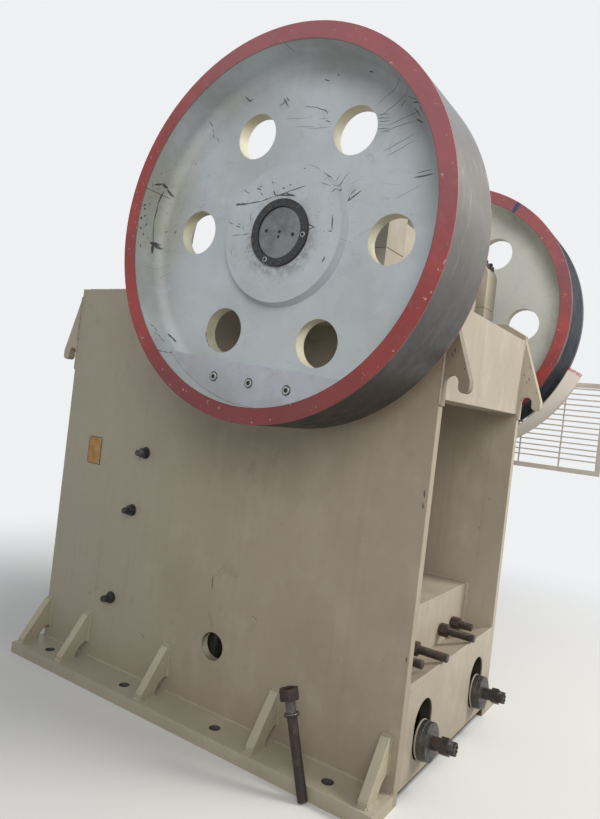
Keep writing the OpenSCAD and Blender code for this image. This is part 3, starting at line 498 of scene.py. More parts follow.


# Scuffs: across and up, half length, half width in millimetres, angle in degrees
SIDE_MARKS = [
    (-471, 695, 42, 3.5, -86), (605, 1332, 18, 4, -84), (605, 1281, 13, 4, -81), (611, 633, 12, 4, -90),
    (-1080, 1845, 28, 3, -37), (-185, 593, 19, 2, -27), (-910, 292, 16, 3, -37)]
HOOK_MARKS = [
    (666, 1939, 12, 3, -84), (656, 1921, 11, 2.4, -74), (664, 2010, 14, 2.2, -73), (637, 1963, 8, 2, -70),
    (716, 1866, 8, 2, -58)]
RIM_MARKS = [
    (-1083, 2593, 26, 5, 20), (-1044, 2600, 24, 7, -12), (-1008, 2577, 26, 5, -44),
    (-1045, 2545, 36, 4, 80), (-1048, 2470, 45, 3.5, 88), (-1040, 2372, 65, 3, -82),
    (-1028, 2330, 30, 10, 5), (-1012, 2318, 22, 8, -20), (-1036, 2305, 10, 26, 0), (-1124, 2486, 8, 4, 30),
    (-1118, 2470, 6, 5, 0), (-1127, 2424, 7, 6, 60), (-1110, 2440, 5, 5, 0), (-1102, 2354, 8, 4, 80),
    (-1092, 2404, 10, 4, 70), (-1113, 2300, 8, 3, 90), (-1120, 2380, 7, 4, 45), (-1098, 2500, 6, 3, 60),
    (-1104, 1927, 9, 3, -40), (-1088, 1913, 12, 3, -60), (-1100, 1892, 8, 3, -55), (-1082, 1884, 9, 3, -50),
    (-1072, 1868, 11, 3, -40), (-1013, 1893, 13, 6, -65), (-1004, 1878, 12, 4, -80)]
FAR_MARKS = [(422, 3003, 55, 16, 62)]
WHEEL_MARKS = [
    (-233, 2484, 57, 5, -1), (-157, 2486, 40, 3, 4), (-91, 2495, 41, 2.2, 13), (-19, 2510, 43, 2.2, 12),
    (-53, 2518, 15, 4, -54), (3, 2505, 55, 4.2, -6), (30, 2506, 32, 3.6, -18), (2, 2514, 30, 2.8, 18),
    (61, 2528, 46, 2.6, 10), (-246, 2560, 9, 2.4, -15), (-139, 2543, 16, 3, -21), (-131, 2553, 10, 2.2, 16),
    (-122, 2519, 10, 2.4, -50), (-206, 2537, 25, 1.8, -24), (-203, 2577, 6, 1.8, -35),
    (-8, 2536, 8, 3.4, -5), (25, 2547, 5, 2.6, -5), (87, 2609, 6, 2.2, -15), (-167, 2420, 27, 1.5, -87),
    (-282, 2408, 30, 1.8, -25), (-231, 2386, 14, 2.4, -24), (-228, 2397, 8, 1.8, -23),
    (-202, 2379, 13, 1.2, -64), (-232, 2348, 29, 1.6, 1), (-186, 2350, 23, 1.6, 7),
    (146, 2371, 27, 2.8, -24), (149, 2357, 22, 2.6, 14), (137, 2364, 14, 1.6, -82), (250, 2374, 37, 3, -85),
    (244, 2341, 13, 2.4, -9), (228, 2228, 14, 3.6, 58), (194, 2576, 13, 3, -37), (255, 2563, 42, 1.3, 52),
    (247, 2549, 25, 1.5, 62), (242, 2510, 15, 2.2, 42), (290, 2480, 12, 3.2, 68), (196, 2535, 32, 1.2, -20),
    (198, 2557, 18, 1.2, 17), (-113, 2626, 16, 1.3, 16), (-79, 2638, 31, 1.2, 18), (-19, 2648, 38, 1.1, 3),
    (51, 2644, 39, 1, -10), (114, 2625, 35, 1.2, -26), (180, 2585, 16, 1.4, -32), (-65, 2564, 14, 1.5, -12),
    (-70, 2563, 13, 1.2, -73), (-297, 2269, 19, 1.6, -66), (-254, 2273, 13, 1.2, -74),
    (-292, 2973, 27, 3.2, -41), (-278, 2968, 20, 2.4, 5), (-80, 2927, 28, 3.2, -54),
    (-92, 2926, 28, 2.4, 28), (-71, 2940, 18, 2.6, -49), (51, 2886, 35, 1.7, -11), (110, 2868, 42, 2, -21),
    (135, 2854, 17, 1.6, -57), (147, 2812, 17, 2.2, -24), (34, 2806, 53, 1, -6), (105, 2791, 55, 1, -6),
    (126, 2828, 31, 0.9, -3), (-14, 2848, 62, 0.9, -6), (403, 2803, 29, 1.4, -3), (405, 2788, 33, 1.6, -6),
    (409, 2775, 29, 1.4, -4), (406, 2747, 31, 1.5, -5), (417, 2735, 27, 1.2, -5), (395, 2763, 25, 1, -6),
    (429, 2889, 87, 1.3, 35), (450, 2837, 89, 1.1, 34), (493, 2776, 102, 1.3, 17), (468, 2746, 97, 1.1, 9),
    (483, 2835, 18, 1.6, 48), (521, 2845, 38, 1.2, -27), (543, 2823, 23, 2, -19), (547, 2790, 24, 2.4, -55),
    (560, 2755, 19, 2.8, -33), (567, 2791, 23, 1.6, -64), (483, 2682, 82, 1.2, 22),
    (492, 2658, 70, 1.2, 23), (329, 2981, 12, 3, -18), (120, 2988, 16, 2.8, -21), (172, 3000, 7, 2.6, -43),
    (602, 2543, 44, 3.4, 5), (602, 2560, 33, 1.8, 8), (315, 2491, 40, 3.4, 36), (305, 2507, 19, 2.4, 38),
    (240, 2544, 23, 1.5, 53), (225, 2567, 19, 1.2, 56), (250, 2519, 15, 1.4, -79),
    (-486, 2883, 12, 2.4, -70), (-480, 2857, 12, 2, -70), (-476, 2834, 11, 2.2, -63),
    (-617, 2780, 14, 2.6, -49), (-443, 2808, 12, 1.6, -58), (-649, 2393, 15, 3, 57),
    (-803, 2636, 29, 4, -2), (-764, 2621, 29, 5, -26), (-734, 2588, 34, 3.6, -53),
    (-776, 2567, 37, 2.6, 64), (-794, 2498, 46, 2.2, 81), (-791, 2397, 76, 2.2, -84),
    (-784, 2366, 38, 6, -13), (-777, 2335, 38, 6, -21), (-787, 2386, 27, 4, -54),
    (-707, 2557, 15, 1.8, -26), (-457, 3098, 14, 2, -51), (-114, 3161, 39, 1.8, -11),
    (-112, 3161, 14, 1.5, -56), (-479, 2648, 7, 1.2, 37), (-381, 1913, 15, 3.6, -79),
    (-370, 1886, 16, 3, -61), (-356, 1864, 10, 2.4, -50), (-519, 1812, 12, 2.4, -12),
    (-478, 1803, 16, 3.4, -14)]

# a high floor darkens the low rear beam: dust, and painted shade
PAINT = frame_paint("frame_paint", floor=0.78)
# painted shade: the near side plate is the frame paint in darker tones
SIDE_SHADED = frame_paint("frame_paint_near_side_shaded", SIDE_MARKS, green=0.8, rust=0.5, access=True,
                   tones=((0.405, 0.350, 0.262), (0.345, 0.294, 0.214), (0.475, 0.420, 0.328)))
FOOT = frame_paint("frame_paint_gussets", relief=True,
                   tones=((0.500, 0.455, 0.340), (0.430, 0.390, 0.275), (0.57, 0.53, 0.42)))
FLANGE = frame_paint("frame_paint_flanges", dirt=0.6, floor=0.22, rust=0.6, green=0.9, anchors=True,
                     tones=((0.480, 0.435, 0.330), (0.410, 0.372, 0.275), (0.545, 0.505, 0.400)))
HOOK = frame_paint("frame_paint_hooks", HOOK_MARKS)
# painted shade: the near hook is the frame paint in darker tones
HOOK_NEAR_SHADED = frame_paint("frame_paint_near_hook_shaded", HOOK_MARKS,
                        tones=((0.270, 0.228, 0.168), (0.225, 0.190, 0.136), (0.335, 0.292, 0.222)))
GUARD = frame_paint("guard_paint", dirt=0.45, floor=0.0, rust=0.5, tip=True,
                    tones=((0.760, 0.705, 0.640), (0.680, 0.625, 0.560), (0.80, 0.76, 0.71)))
# painted shade: the base welds are the frame paint in darker tones, for the shade in their corners
WELDS_SHADED = frame_paint("frame_paint_welds_shaded", floor=0.3, rust=0.8, green=0.6,
                    tones=((0.400, 0.358, 0.270), (0.335, 0.298, 0.220), (0.460, 0.420, 0.330)))
WHEEL = wheel_paint("wheel_paint_near", WHITE, WHITE_DARK, WHEEL_MARKS)
# painted light: the far wheel and its counterweight get a brighter, warmer copy of the wheel white
WHEEL_FAR_LIT = wheel_paint("wheel_paint_far_lit", (0.830, 0.855, 0.805), (0.735, 0.755, 0.705), far=True)
WEIGHT = wheel_paint("weight_paint", (0.520, 0.545, 0.610), (0.445, 0.460, 0.515), bores=False)
DARK = dark_steel("dark_steel")
LOCK = dark_steel("lock_steel", (0.024, 0.025, 0.028), 0.10, 0.25, 2.6)
DISC = dark_steel("disc_steel", (0.052, 0.050, 0.048), 0.40, 0.4)
STUD = dark_steel("stud_steel", (0.036, 0.026, 0.022), 0.70, 0.30)
IRON = dark_steel("toggle_iron", (0.045, 0.042, 0.034), 0.4, 0.3)
BOLT = dark_steel("loose_bolt", (0.022, 0.015, 0.013), 0.5, 0.25)
SHAFT = shaft_steel("shaft_steel")
JAW = jaw_steel("jaw_steel")
LABEL = plate_label("rating_plate")
WORN = flat_color("worn_thread", (0.30, 0.285, 0.27), 0.38, 0.6)
PALE_METAL = flat_color("pale_metal", (0.42, 0.42, 0.41), 0.42, 0.6)
# painted shade: near black for shallow bores and sockets, standing for deep holes
HOLE_SHADE = flat_color("dark_bore_shade", (0.008, 0.008, 0.009), 0.7)


def by_node(groups):
    """A dictionary from each node's name to the value of its group."""
    return {name: value for value, names in groups for name in names.split()}


LOOKS = by_node((
    (SIDE_SHADED, "side_plate_near"),
    (FLANGE, "base_flange_near base_flange_far"),
    (FOOT, "gussets_near gussets_far"),
    (HOOK, "hook_rear_far"),
    (HOOK_NEAR_SHADED, "hook_rear_near"),
    (GUARD, "belt_guard_sheet belt_guard_mesh belt_guard_brackets"),
    (JAW, "fixed_jaw_plate swing_jaw_plate cheek_plate_near cheek_plate_far"),
    (IRON, "toggle_plate toggle_seat_rear toggle_seat_jaw"),
    (STUD, "adjusting_studs"),
    (DARK, "tension_rods"),
    (DISC, "spring_discs"),
    (LOCK, "cheek_bolts_near cheek_bolts_far lock_ring_near lock_ring_far"),
    (SHAFT, "eccentric_shaft bearing_near bearing_far"),
    (WHEEL, "flywheel"),
    (WEIGHT, "counterweight_near"),
    (WHEEL_FAR_LIT, "sheave counterweight_far"),
    (BOLT, "holding_down_bolt")))
EDGES = by_node((
    (0, "belt_guard_mesh"),
    (0.001, "belt_guard_sheet"),
    (0.0015, "adjusting_studs"),
    (0.002, "lock_ring_near lock_ring_far tension_rods cheek_bolts_near cheek_bolts_far holding_down_bolt"),
    (0.0025, "sheave"),
    (0.004, "flywheel fixed_jaw_plate swing_jaw_plate"),
    (0.006, "bearing_cap_near bearing_cap_far swing_jaw")))


def dress(name, obj):
    """A material, and softened edges by modifiers that leave the CAD mesh as it is."""
    obj.data.materials.clear()
    obj.data.materials.append(LOOKS.get(name, PAINT))
    width = EDGES.get(name, 0.003)
    modify(obj, "join", "WELD", merge_threshold=0.00002)
    if width:
        modify(obj, "flat_faces", "DECIMATE", decimate_type="DISSOLVE", angle_limit=math.radians(0.2))
        modify(obj, "edges", "BEVEL", width=width, segments=2, limit_method="ANGLE",
               angle_limit=math.radians(32), use_clamp_overlap=True, face_strength_mode="FSTR_ALL")
    modify(obj, "normals", "WEIGHTED_NORMAL", keep_sharp=False, use_face_influence=True)


for node_name, node_object in nodes.items():
    dress(node_name, node_object)


# Mesh building
def frame_of(origin, z, x=(1, 0, 0)):
    """A matrix at origin with its Z along z and its X as near x as it can be."""
    z = Vector(z).normalized()
    x = Vector(x)
    if abs(x.normalized().dot(z)) > 0.95:
        x = Vector((0, 1, 0)) if abs(z.y) < 0.9 else Vector((0, 0, 1))
    x = (x - z * x.dot(z)).normalized()
    turn = Matrix((x, z.cross(x), z)).transposed().to_4x4()
    return Matrix.Translation(Vector(origin)) @ turn


def on_circle(r, count, start):
    """Evenly spaced (x, z) places round the shaft line, from start in degrees."""
    turns = [math.radians(start + 360 * i / count) for i in range(count)]
    return [(r * math.cos(a), SHAFT_Z + r * math.sin(a)) for a in turns]


class Shape:
    """Collects vertices and faces for one object."""

    # how many welds have been laid; the count seeds the ripples of the next one
    welds = 0

    def __init__(self):
        self.verts, self.faces = [], []

    def put(self, verts, faces, at=None):
        base = len(self.verts)
        self.verts += [tuple(at @ Vector(v)) if at else tuple(v) for v in verts]
        self.faces += [tuple(base + i for i in f) for f in faces]

    def box(self, low, high, at=None):
        (a, b, c), (d, e, f) = low, high
        verts = [(x, y, z) for z in (c, f) for y in (b, e) for x in (a, d)]
        sides = [(0, 1, 5, 4), (2, 6, 7, 3), (0, 4, 6, 2), (1, 3, 7, 5)]
        self.put(verts, [(0, 2, 3, 1), (4, 5, 7, 6)] + sides, at)

    def lathe(self, profile, at, n=32, shut=False):
        """Turns (radius, height) points about Z. Points at radius 0 close the ends."""
        verts, faces, rows = [], [], []
        for r, h in profile:
            if r == 0:
                rows.append([len(verts)] * n)
                verts.append((0, 0, h))
            else:
                rows.append(range(len(verts), len(verts) + n))
                verts += [(r * math.cos(2 * math.pi * i / n), r * math.sin(2 * math.pi * i / n), h)
                          for i in range(n)]
        pairs = list(zip(rows, rows[1:])) + ([(rows[-1], rows[0])] if shut else [])
        for low, high in pairs:
            for i in range(n):
                j = (i + 1) % n
                quad = [low[i], low[j], high[j], high[i]]
                face = [v for k, v in enumerate(quad) if v not in quad[:k]]
                if len(face) > 2:
                    faces.append(tuple(face))
        self.put(verts, faces, at)

    def hexagon(self, flats, low, high, at, chamfer=0.0):
        """A hexagon extruded along Z, with a chamfer at its top edge."""
        r = flats / math.sqrt(3)
        corners = [(math.cos(math.radians(60 * i)), math.sin(math.radians(60 * i))) for i in range(6)]
        levels = [(low, r), (high - chamfer, r)] + ([(high, r - chamfer)] if chamfer else [])
        verts = [(x * size, y * size, h) for h, size in levels for x, y in corners]
        faces = [tuple(reversed(range(6)))]
        for row in range(0, len(verts) - 6, 6):
            for i in range(6):
                j = (i + 1) % 6
                faces.append((row + i, row + j, row + 6 + j, row + 6 + i))
        faces.append(tuple(range(len(verts) - 6, len(verts))))
        self.put(verts, faces, at)

    def thread(self, r, low, high, pitch, at, n=24):
        """A threaded length as close rings with a chamfered end."""
        depth = pitch * 0.45
        profile = [(r - depth, low)]
        h = low
        while h + pitch <= high:
            profile += [(r - depth, h + pitch * 0.06), (r, h + pitch * 0.40), (r, h + pitch * 0.58)]
            h += pitch
        profile += [(r - depth, h), (r - depth * 1.6, high), (0, high)]
        self.lathe(profile, at, n)

    def nut(self, origin, out, flats, height, stud, pitch):
        """A nut with a threaded end standing out of it."""
        at = frame_of(origin, out)
        self.hexagon(flats, 0, height, at, flats * 0.05)
        self.thread(flats * 0.33, height - 0.001, height + stud, pitch, at)

    def weld(self, start, end, side_a, side_b, leg, ripple=0.0055):
        """A rippled fillet in a corner whose faces run along side_a and side_b."""
        Shape.welds += 1
        rng = random.Random(Shape.welds)
        a, b = Vector(side_a), Vector(side_b)
        p, q = Vector(start), Vector(end)
        along = (q - p).normalized()
        n = max(2, round((q - p).length / ripple))
        steps = 5
        verts = []
        for k in range(n + 1):
            spot = p.lerp(q, k / n)
            wave = 1 + 0.10 * noise.noise(spot * 14) + 0.06 * rng.uniform(-1, 1)
            ridge = 0.0007 * (1 if k % 2 else -1)
            for i in range(steps + 1):
                u = i / steps
                bulge = math.sin(math.pi * u)
                point = spot + a * (leg * wave * (1 - u)) + b * (leg * wave * u)
                point += (a + b).normalized() * (bulge * (leg * 0.20 + ridge)) - along * (0.0022 * bulge)
                verts.append(tuple(point))
            verts.append(tuple(spot - (a + b) * 0.001))
        ring = steps + 2
        faces = [tuple(range(ring)), tuple(reversed(range(len(verts) - ring, len(verts))))]
        for row in range(0, n * ring, ring):
            for i in range(ring):
                j = (i + 1) % ring
                faces.append((row + i, row + j, row + ring + j, row + ring + i))
        self.put(verts, faces)

    def object(self, name, body, material, slot, smooth=35, bevel=0.0):
        mesh = bpy.data.meshes.new(name)
        mesh.from_pydata(self.verts, [], self.faces)
        bm = bmesh.new()
        bm.from_mesh(mesh)
        bmesh.ops.recalc_face_normals(bm, faces=bm.faces)
        limit = math.radians(smooth)
        for face in bm.faces:
            face.smooth = True
        for edge in bm.edges:
            edge.smooth = not (len(edge.link_faces) == 2 and edge.calc_face_angle(0) > limit)
        bm.to_mesh(mesh)
        bm.free()
        mesh.materials.append(material)
        obj = new_object(name, mesh)
        if bevel:
            modify(obj, "edges", "BEVEL", width=bevel, segments=2, limit_method="ANGLE",
                   angle_limit=math.radians(40))
        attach(obj, body)


# Welds
UP, DOWN = (0, 0, 1), (0, 0, -1)


def weld_base(beads, s):
    """Beads along a base flange and round its gussets."""
    y, out, half, foot = s * OUT_Y, (0, s, 0), GUSSET_T / 2, GUSSET_RELIEF + 0.002
    stops = [FRONT_X] + [x for g in GUSSET_X for x in (g - half, g + half)] + [REAR_X]
    for a, b in zip(stops[::2], stops[1::2]):
        beads.weld((a + 0.002, y, FLANGE_T), (b - 0.002, y, FLANGE_T), out, UP, 0.008)
    for g in GUSSET_X:
        for d in (-1, 1):
            x, side = g + d * half, (d, 0, 0)
            beads.weld((x, y, FLANGE_T + foot), (x, y, GUSSET_TOP_Z - 0.004), side, out, 0.006)
            beads.weld((x, y + s * foot, FLANGE_T), (x, y + s * (GUSSET_OUT - 0.004), FLANGE_T),
                       side, UP, 0.006)
        for end, z in ((y, GUSSET_TOP_Z), (y + s * GUSSET_OUT, FLANGE_T)):
            beads.weld((g - 0.022, end, z), (g + 0.022, end, z), out, UP, 0.009)


def weld_plate(beads, s):
    """Beads of the shelf, toggle beam, top beam and front wall against one side plate."""
    rear = REAR_X - 0.003
    for x0, z0, x1, z1, side in (
        (rear, SHELF_Z, BEAM_REAR_X, SHELF_IN_Z, UP),
        (BEAM_REAR_X, SHELF_IN_Z + 0.008, BEAM_REAR_X, BEAM_TOP_Z, (1, 0, 0)),
        (BEAM_REAR_X, BEAM_TOP_Z, BEAM_X, BEAM_TOP_Z, UP),
        (BEAM_X, BEAM_TOP_Z, BEAM_X, BEAM_Z, (-1, 0, 0)),
        (TOP_BEAM_X, TOP_BEAM_Z, rear, TOP_BEAM_Z, DOWN),
        (TOP_BEAM_X, TOP_BEAM_Z, TOP_BEAM_X, TOP_BEAM_TOP_Z, (-1, 0, 0)),
        (TOP_BEAM_X, TOP_BEAM_TOP_Z, rear, TOP_BEAM_TOP_Z, UP),
        (FRONT_X + 0.004, FRONT_TOP_Z, WALL_REAR_X, FRONT_TOP_Z, UP),
    ):
        beads.weld((x0, s * IN_Y, z0), (x1, s * IN_Y, z1), side, (0, -s, 0), 0.012)


def weld_housing(beads, s):
    """Beads round a bearing housing and up the end edges of its side plate."""
    y, out = s * OUT_Y, (0, s, 0)
    beads.weld((-0.25, y, HOUSING_Z), (0.25, y, HOUSING_Z), out, DOWN, 0.013)
    for d in (-1, 1):
        x = d * HOUSING_X
        beads.weld((x, y, HOUSING_Z + 0.005), (x, y, HOUSING_Z + 0.205), (d, 0, 0), out, 0.012)
    for x, d in ((REAR_X, 1), (FRONT_X, -1)):
        for face, side in ((s * OUT_Y, s), (s * IN_Y, -s)):
            beads.weld((x, face, EDGE_Z), (x, face, EDGE_TOP_Z), (d, 0, 0), (0, side, 0), 0.006)


def weld_front(beads):
    """Beads along the front ribs and uprights, but for the lowest and the highest edge."""
    levels = [RIB_Z + i * (RIB_REACH / (RIB_N - 1)) for i in range(RIB_N)]
    posts = [(i * 2 * IN_Y / (POST_N + 1)) - IN_Y for i in range(1, POST_N + 1)]
    half = RIB_T / 2
    for z in levels:
        for y0, y1 in zip([-IN_Y] + [p + half for p in posts], [p - half for p in posts] + [IN_Y]):
            for edge, side in ((z + RIB_T, UP), (z, DOWN)):
                if levels[0] < edge < levels[-1] + half:
                    beads.weld((WALL_X, y0, edge), (WALL_X, y1, edge), (-1, 0, 0), side, 0.010, 0.008)
    corners = [(p + d * half, d) for p in posts for d in (-1, 1)] + [(-IN_Y, 1), (IN_Y, -1)]
    for z0, z1 in zip([z + RIB_T for z in levels], levels[1:]):
        for y, d in corners:
            beads.weld((WALL_X, y, z0), (WALL_X, y, z1), (-1, 0, 0), (0, d, 0), 0.010, 0.008)


def make_welds():
    base, inside = Shape(), Shape()
    for part, beads in ((weld_base, base), (weld_plate, inside), (weld_housing, inside)):
        for s in (-1, 1):
            part(beads, s)
    weld_front(inside)
    base.object("welds_base", "frame", WELDS_SHADED, "frame_paint", 60)
    inside.object("welds_frame", "frame", PAINT, "frame_paint", 60)


# Fasteners
def make_fasteners():
    dark = Shape()
    for s in (-1, 1):
        # cap bolts: four a side, up through the cap's shoulders
        for x in (-CAP_BOLT_X, CAP_BOLT_X):
            for y in CAP_BOLT_YS:
                dark.nut((x, s * y, CAP_BOLT_Z), UP, 0.046, 0.028, 0.022, 0.004)
        for x, z in on_circle(COVER_SCREW_R, 12, 15):
            dark.lathe([(0, 0), (0.0095, 0), (0.0095, 0.0040), (0.0085, 0.0050), (0, 0.0050)],
                       frame_of((x, s * COVER_Y, z), (0, s, 0)), 20)
    dark.object("bearing_fasteners", "frame", DARK, "dark_steel")


def make_lock_screws(s, tag):
    """Socket screws round a locking ring, two of them bright with sockets painted near black as shade, and
    centre holes in the shaft end painted near black as shade.
    """
    ring, pale, bore = Shape(), Shape(), Shape()
    for i, (x, z) in enumerate(on_circle(LOCK_SCREW_R, 20, -7.4)):
        at = frame_of((x, s * LOCK_Y, z), (0, s, 0))
        bright = i in (0, 14)
        high = 0.0026 if bright else 0.0006
        rim = [(0.0072, -0.002), (0.0114, -0.002), (0.0114, high / 2), (0.0100, high), (0.0072, high)]
        (pale if bright else ring).lathe(rim, at, 24, shut=True)
        (bore if bright else ring).hexagon(0.0120, -0.001, 0.0004, at)
    centres = ((-0.069, 0.011, 0.0080), (0.069, -0.011, 0.0085), (0, 0.004, 0.0072), (-0.003, -0.017, 0.0066))
    for x, z, r in centres:
        at = frame_of((x, s * END_Y, SHAFT_Z + z), (0, s, 0))
        bore.lathe([(0, 0.0004), (r, 0.0004), (r, -0.002), (0, -0.002)], at, 24)
    ring.object(f"lock_screws_{tag}", "rotor", LOCK, "dark_steel")
    pale.object(f"hub_bright_{tag}", "rotor", PALE_METAL, "shaft_steel")
    bore.object(f"hub_bores_{tag}", "rotor", HOLE_SHADE, "dark_steel")


def make_weight_screws(s, tag, paint):
    """Three cap heads, each in a counterbore painted near black as shade, with a painted rim, across the
    counterweight.
    """
    heads, rings, wells = Shape(), Shape(), Shape()
    mid = math.radians(WEIGHT_PHASE)
    down = Vector((math.cos(mid), 0, math.sin(mid)))
    side = Vector((-math.sin(mid), 0, math.cos(mid)))
    for k in (-1, 0, 1):
        spot = down * WEIGHT_SCREW_R + side * (WEIGHT_SCREW_GAP * k)
        at = frame_of(Vector((0, s * WEIGHT_Y, SHAFT_Z)) + spot, (0, s, 0))
        wells.lathe([(0, 0.0003), (0.0218, 0.0003), (0.0218, -0.003), (0, -0.003)], at, 40)
        wells.hexagon(0.0165, 0.0003, 0.0012, at)
        rings.lathe([(0.0214, -0.001), (0.0248, -0.001), (0.0243, 0.0012), (0.0217, 0.0010)],
                    at, 40, shut=True)
        heads.lathe([(0.0095, 0.0002), (0.0175, 0.0002), (0.0175, 0.0040), (0.0160, 0.0052),
                     (0.0095, 0.0052)], at, 36, shut=True)
    heads.object(f"weight_screws_{tag}", "rotor", PALE_METAL, "dark_steel")
    rings.object(f"weight_rings_{tag}", "rotor", paint, "wheel_paint")
    wells.object(f"weight_wells_{tag}", "rotor", HOLE_SHADE, "dark_steel")


def add_rods(dark, pale):
    """A threaded castle end on each tension rod, and the pale washer behind its discs."""
    tilt = math.radians(ROD_TILT)
    for y in (-ROD_Y, ROD_Y):
        at = frame_of((REAR_X, y, ROD_Z), (math.cos(tilt), 0, math.sin(tilt)), (0, 1, 0))
        dark.thread(0.0302, 0.1325, 0.1540, 0.0042, at, 36)
        for i in range(9):
            tooth = at @ Matrix.Rotation(math.radians(40 * i), 4, "Z")
            dark.box((0.0175, -0.0052, 0.150), (0.0292, 0.0052, 0.1625), tooth)
        pale.lathe([(0.0296, 0.0005), (0.0885, 0.0005), (0.0895, 0.0015), (0.0895, 0.0068),
                    (0.0885, 0.0078), (0.0296, 0.0078)], at, 64, shut=True)


def add_studs(stud):
    """Threads and washers on the adjusting studs."""
    for y, length in zip(STUD_YS, STUD_LENGTHS):
        at = frame_of((BEAM_REAR_X, y, STUD_Z), (1, 0, 0))
        stud.thread(0.0208, 0.047, length + 0.001, 0.0045, at, 28)
        stud.lathe([(0.0203, 0.0075), (0.0345, 0.0075), (0.0345, 0.0135), (0.0203, 0.0135)],
                   at, 36, shut=True)


def add_cheek_bolts(dark, s):
    """Threads and washers on one side's cheek bolts."""
    for x, z in CHEEK_BOLTS:
        at = frame_of((x, s * OUT_Y, z), (0, s, 0))
        dark.thread(0.0178, 0.030, 0.0645, 0.0035, at, 28)
        dark.lathe([(0.0175, 0), (0.0335, 0), (0.0335, 0.0028), (0.0322, 0.0038), (0.0175, 0.0038)],
                   at, 36, shut=True)


def add_loose_bolt(worn):
    """The bare thread of the loose bolt and the worn rim of its washer."""
    lean = math.radians(LOOSE_LEAN)
    at = frame_of(LOOSE_FOOT, (-math.sin(lean), 0, math.cos(lean)))
    worn.thread(0.0226, 0.351, 0.4035, 0.0045, at, 32)
    worn.lathe([(0.0305, 0.3498), (0.0338, 0.3498), (0.0332, 0.3512), (0.0312, 0.3512)],
               at, 48, shut=True)


def make_rods():
    dark, stud, pale, worn = Shape(), Shape(), Shape(), Shape()
    add_rods(dark, pale)
    add_studs(stud)
    for s in (-1, 1):
        add_cheek_bolts(dark, s)
    add_loose_bolt(worn)
    worn.object("loose_bolt_thread", "frame", WORN, "dark_steel")
    dark.object("rod_threads", "frame", DARK, "dark_steel")
    stud.object("stud_threads", "frame", STUD, "dark_steel")
    pale.object("rod_washers", "frame", PAINT, "frame_paint")


def make_label():
    """The blank rating plate on the near side, held by four rivets."""
    x, z, half_w, half_h = LABEL_X, LABEL_Z, LABEL_W / 2, LABEL_H / 2
    plate, rivets = Shape(), Shape()
    plate.box((x - half_w, -OUT_Y - 0.0022, z - half_h), (x + half_w, -OUT_Y - 0.0002, z + half_h))
    for dx in (0.007 - half_w, half_w - 0.007):
        for dz in (0.007 - half_h, half_h - 0.007):
            rivets.lathe([(0, 0.0030), (0.0022, 0.0024), (0.0038, 0.0008), (0.0038, 0), (0, 0)],
                         frame_of((x + dx, -OUT_Y - 0.0020, z + dz), (0, -1, 0)), 16)
    plate.object("blank_rating_plate", "frame", LABEL, "frame_paint", bevel=0.0006)
    rivets.object("label_rivets", "frame", PALE_METAL, "dark_steel")


make_welds()
make_fasteners()
for direction, end_tag, end_paint in ((-1, "near", WEIGHT), (1, "far", WHEEL_FAR_LIT)):
    make_lock_screws(direction, end_tag)
    make_weight_screws(direction, end_tag, end_paint)
make_rods()
make_label()


# Floor, backdrop and light
SKY = (0.86, 0.875, 0.89)


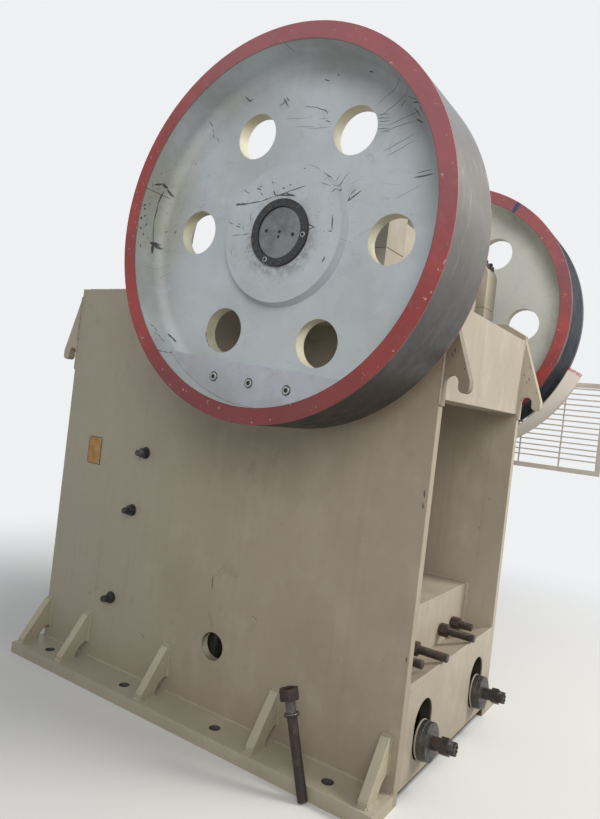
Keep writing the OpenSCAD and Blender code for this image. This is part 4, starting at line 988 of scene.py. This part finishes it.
def make_stage():
    """A pale floor that keeps the shadow, painted near black under the machine as painted shade, and runs out
    into the backdrop's colour.
    """
    g = Graph("floor")
    ray = g.add("ShaderNodeLightPath").outputs
    seen = g.most(g.most(ray["Is Camera Ray"], ray["Is Glossy Ray"]), ray["Is Transmission Ray"])
    tone = g.mix(g.noise(0.8, 3), (0.82, 0.82, 0.81), (0.86, 0.86, 0.85))
    tone = g.mix(seen, (0.46, 0.44, 0.41), tone)
    # painted shade: the floor inside the machine's footprint is near black
    under_painted_shade = g.times(g.step(g.size(g.y), 0.576, 0.560),
                    g.step(g.size(g.plus(g.x, 0.560)), 1.170, 1.140))
    near = g.add("ShaderNodeBsdfDiffuse", {"Color": g.mix(under_painted_shade, tone, (0.035, 0.033, 0.028))}).outputs[0]
    glow = g.add("ShaderNodeEmission", {"Color": SKY}).outputs[0]
    far = g.times(g.step(g.distance(g.x, 0, g.y, 0), 2.2, 5.6), seen)
    join = g.add("ShaderNodeMixShader", {0: far, 1: near, 2: glow}).outputs[0]
    g.add("ShaderNodeOutputMaterial", {0: join})
    mesh = bpy.data.meshes.new("floor")
    d = 90
    mesh.from_pydata([(-d, -d, 0), (d, -d, 0), (d, d, 0), (-d, d, 0)], [], [(0, 1, 2, 3)])
    mesh.materials.append(g.material)
    new_object("floor", mesh)


def make_lamp(name, place, aim, size, power, color):
    data = bpy.data.lights.new(name, "AREA")
    data.shape = "DISK"
    data.size = size
    data.energy = power
    data.color = color
    new_object(name, data).matrix_world = frame_of(place, Vector(place) - Vector(aim))


def make_world():
    """Plain light for the object and the backdrop's colour for what the camera sees past it."""
    world = bpy.data.worlds.new("world")
    world.use_nodes = True
    tree = world.node_tree
    tree.nodes.clear()
    ray = tree.nodes.new("ShaderNodeLightPath").outputs
    seen = ray["Is Camera Ray"]
    for kind in ("Is Glossy Ray", "Is Transmission Ray"):
        most = tree.nodes.new("ShaderNodeMath")
        most.operation = "MAXIMUM"
        tree.links.new(seen, most.inputs[0])
        tree.links.new(ray[kind], most.inputs[1])
        seen = most.outputs[0]
    mix = tree.nodes.new("ShaderNodeMixShader")
    tree.links.new(seen, mix.inputs[0])
    for i, color, strength in ((1, (0.93, 0.965, 1.0), 0.37), (2, SKY, 1.0)):
        light = tree.nodes.new("ShaderNodeBackground")
        light.inputs[0].default_value = (*color, 1)
        light.inputs[1].default_value = strength
        tree.links.new(light.outputs[0], mix.inputs[i])
    tree.links.new(mix.outputs[0], tree.nodes.new("ShaderNodeOutputWorld").inputs[0])
    bpy.context.scene.world = world


make_stage()
make_lamp("key", (7.2, 3.2, 6.6), (0.2, 0.2, 1.3), 4.0, 680, (1.0, 0.97, 0.92))
make_lamp("front_fill", (4.2, -7.4, 4.8), (-0.3, -0.6, 1.5), 5.0, 270, (1.0, 0.975, 0.94))
make_world()
bpy.context.scene.view_settings.view_transform = "Standard"
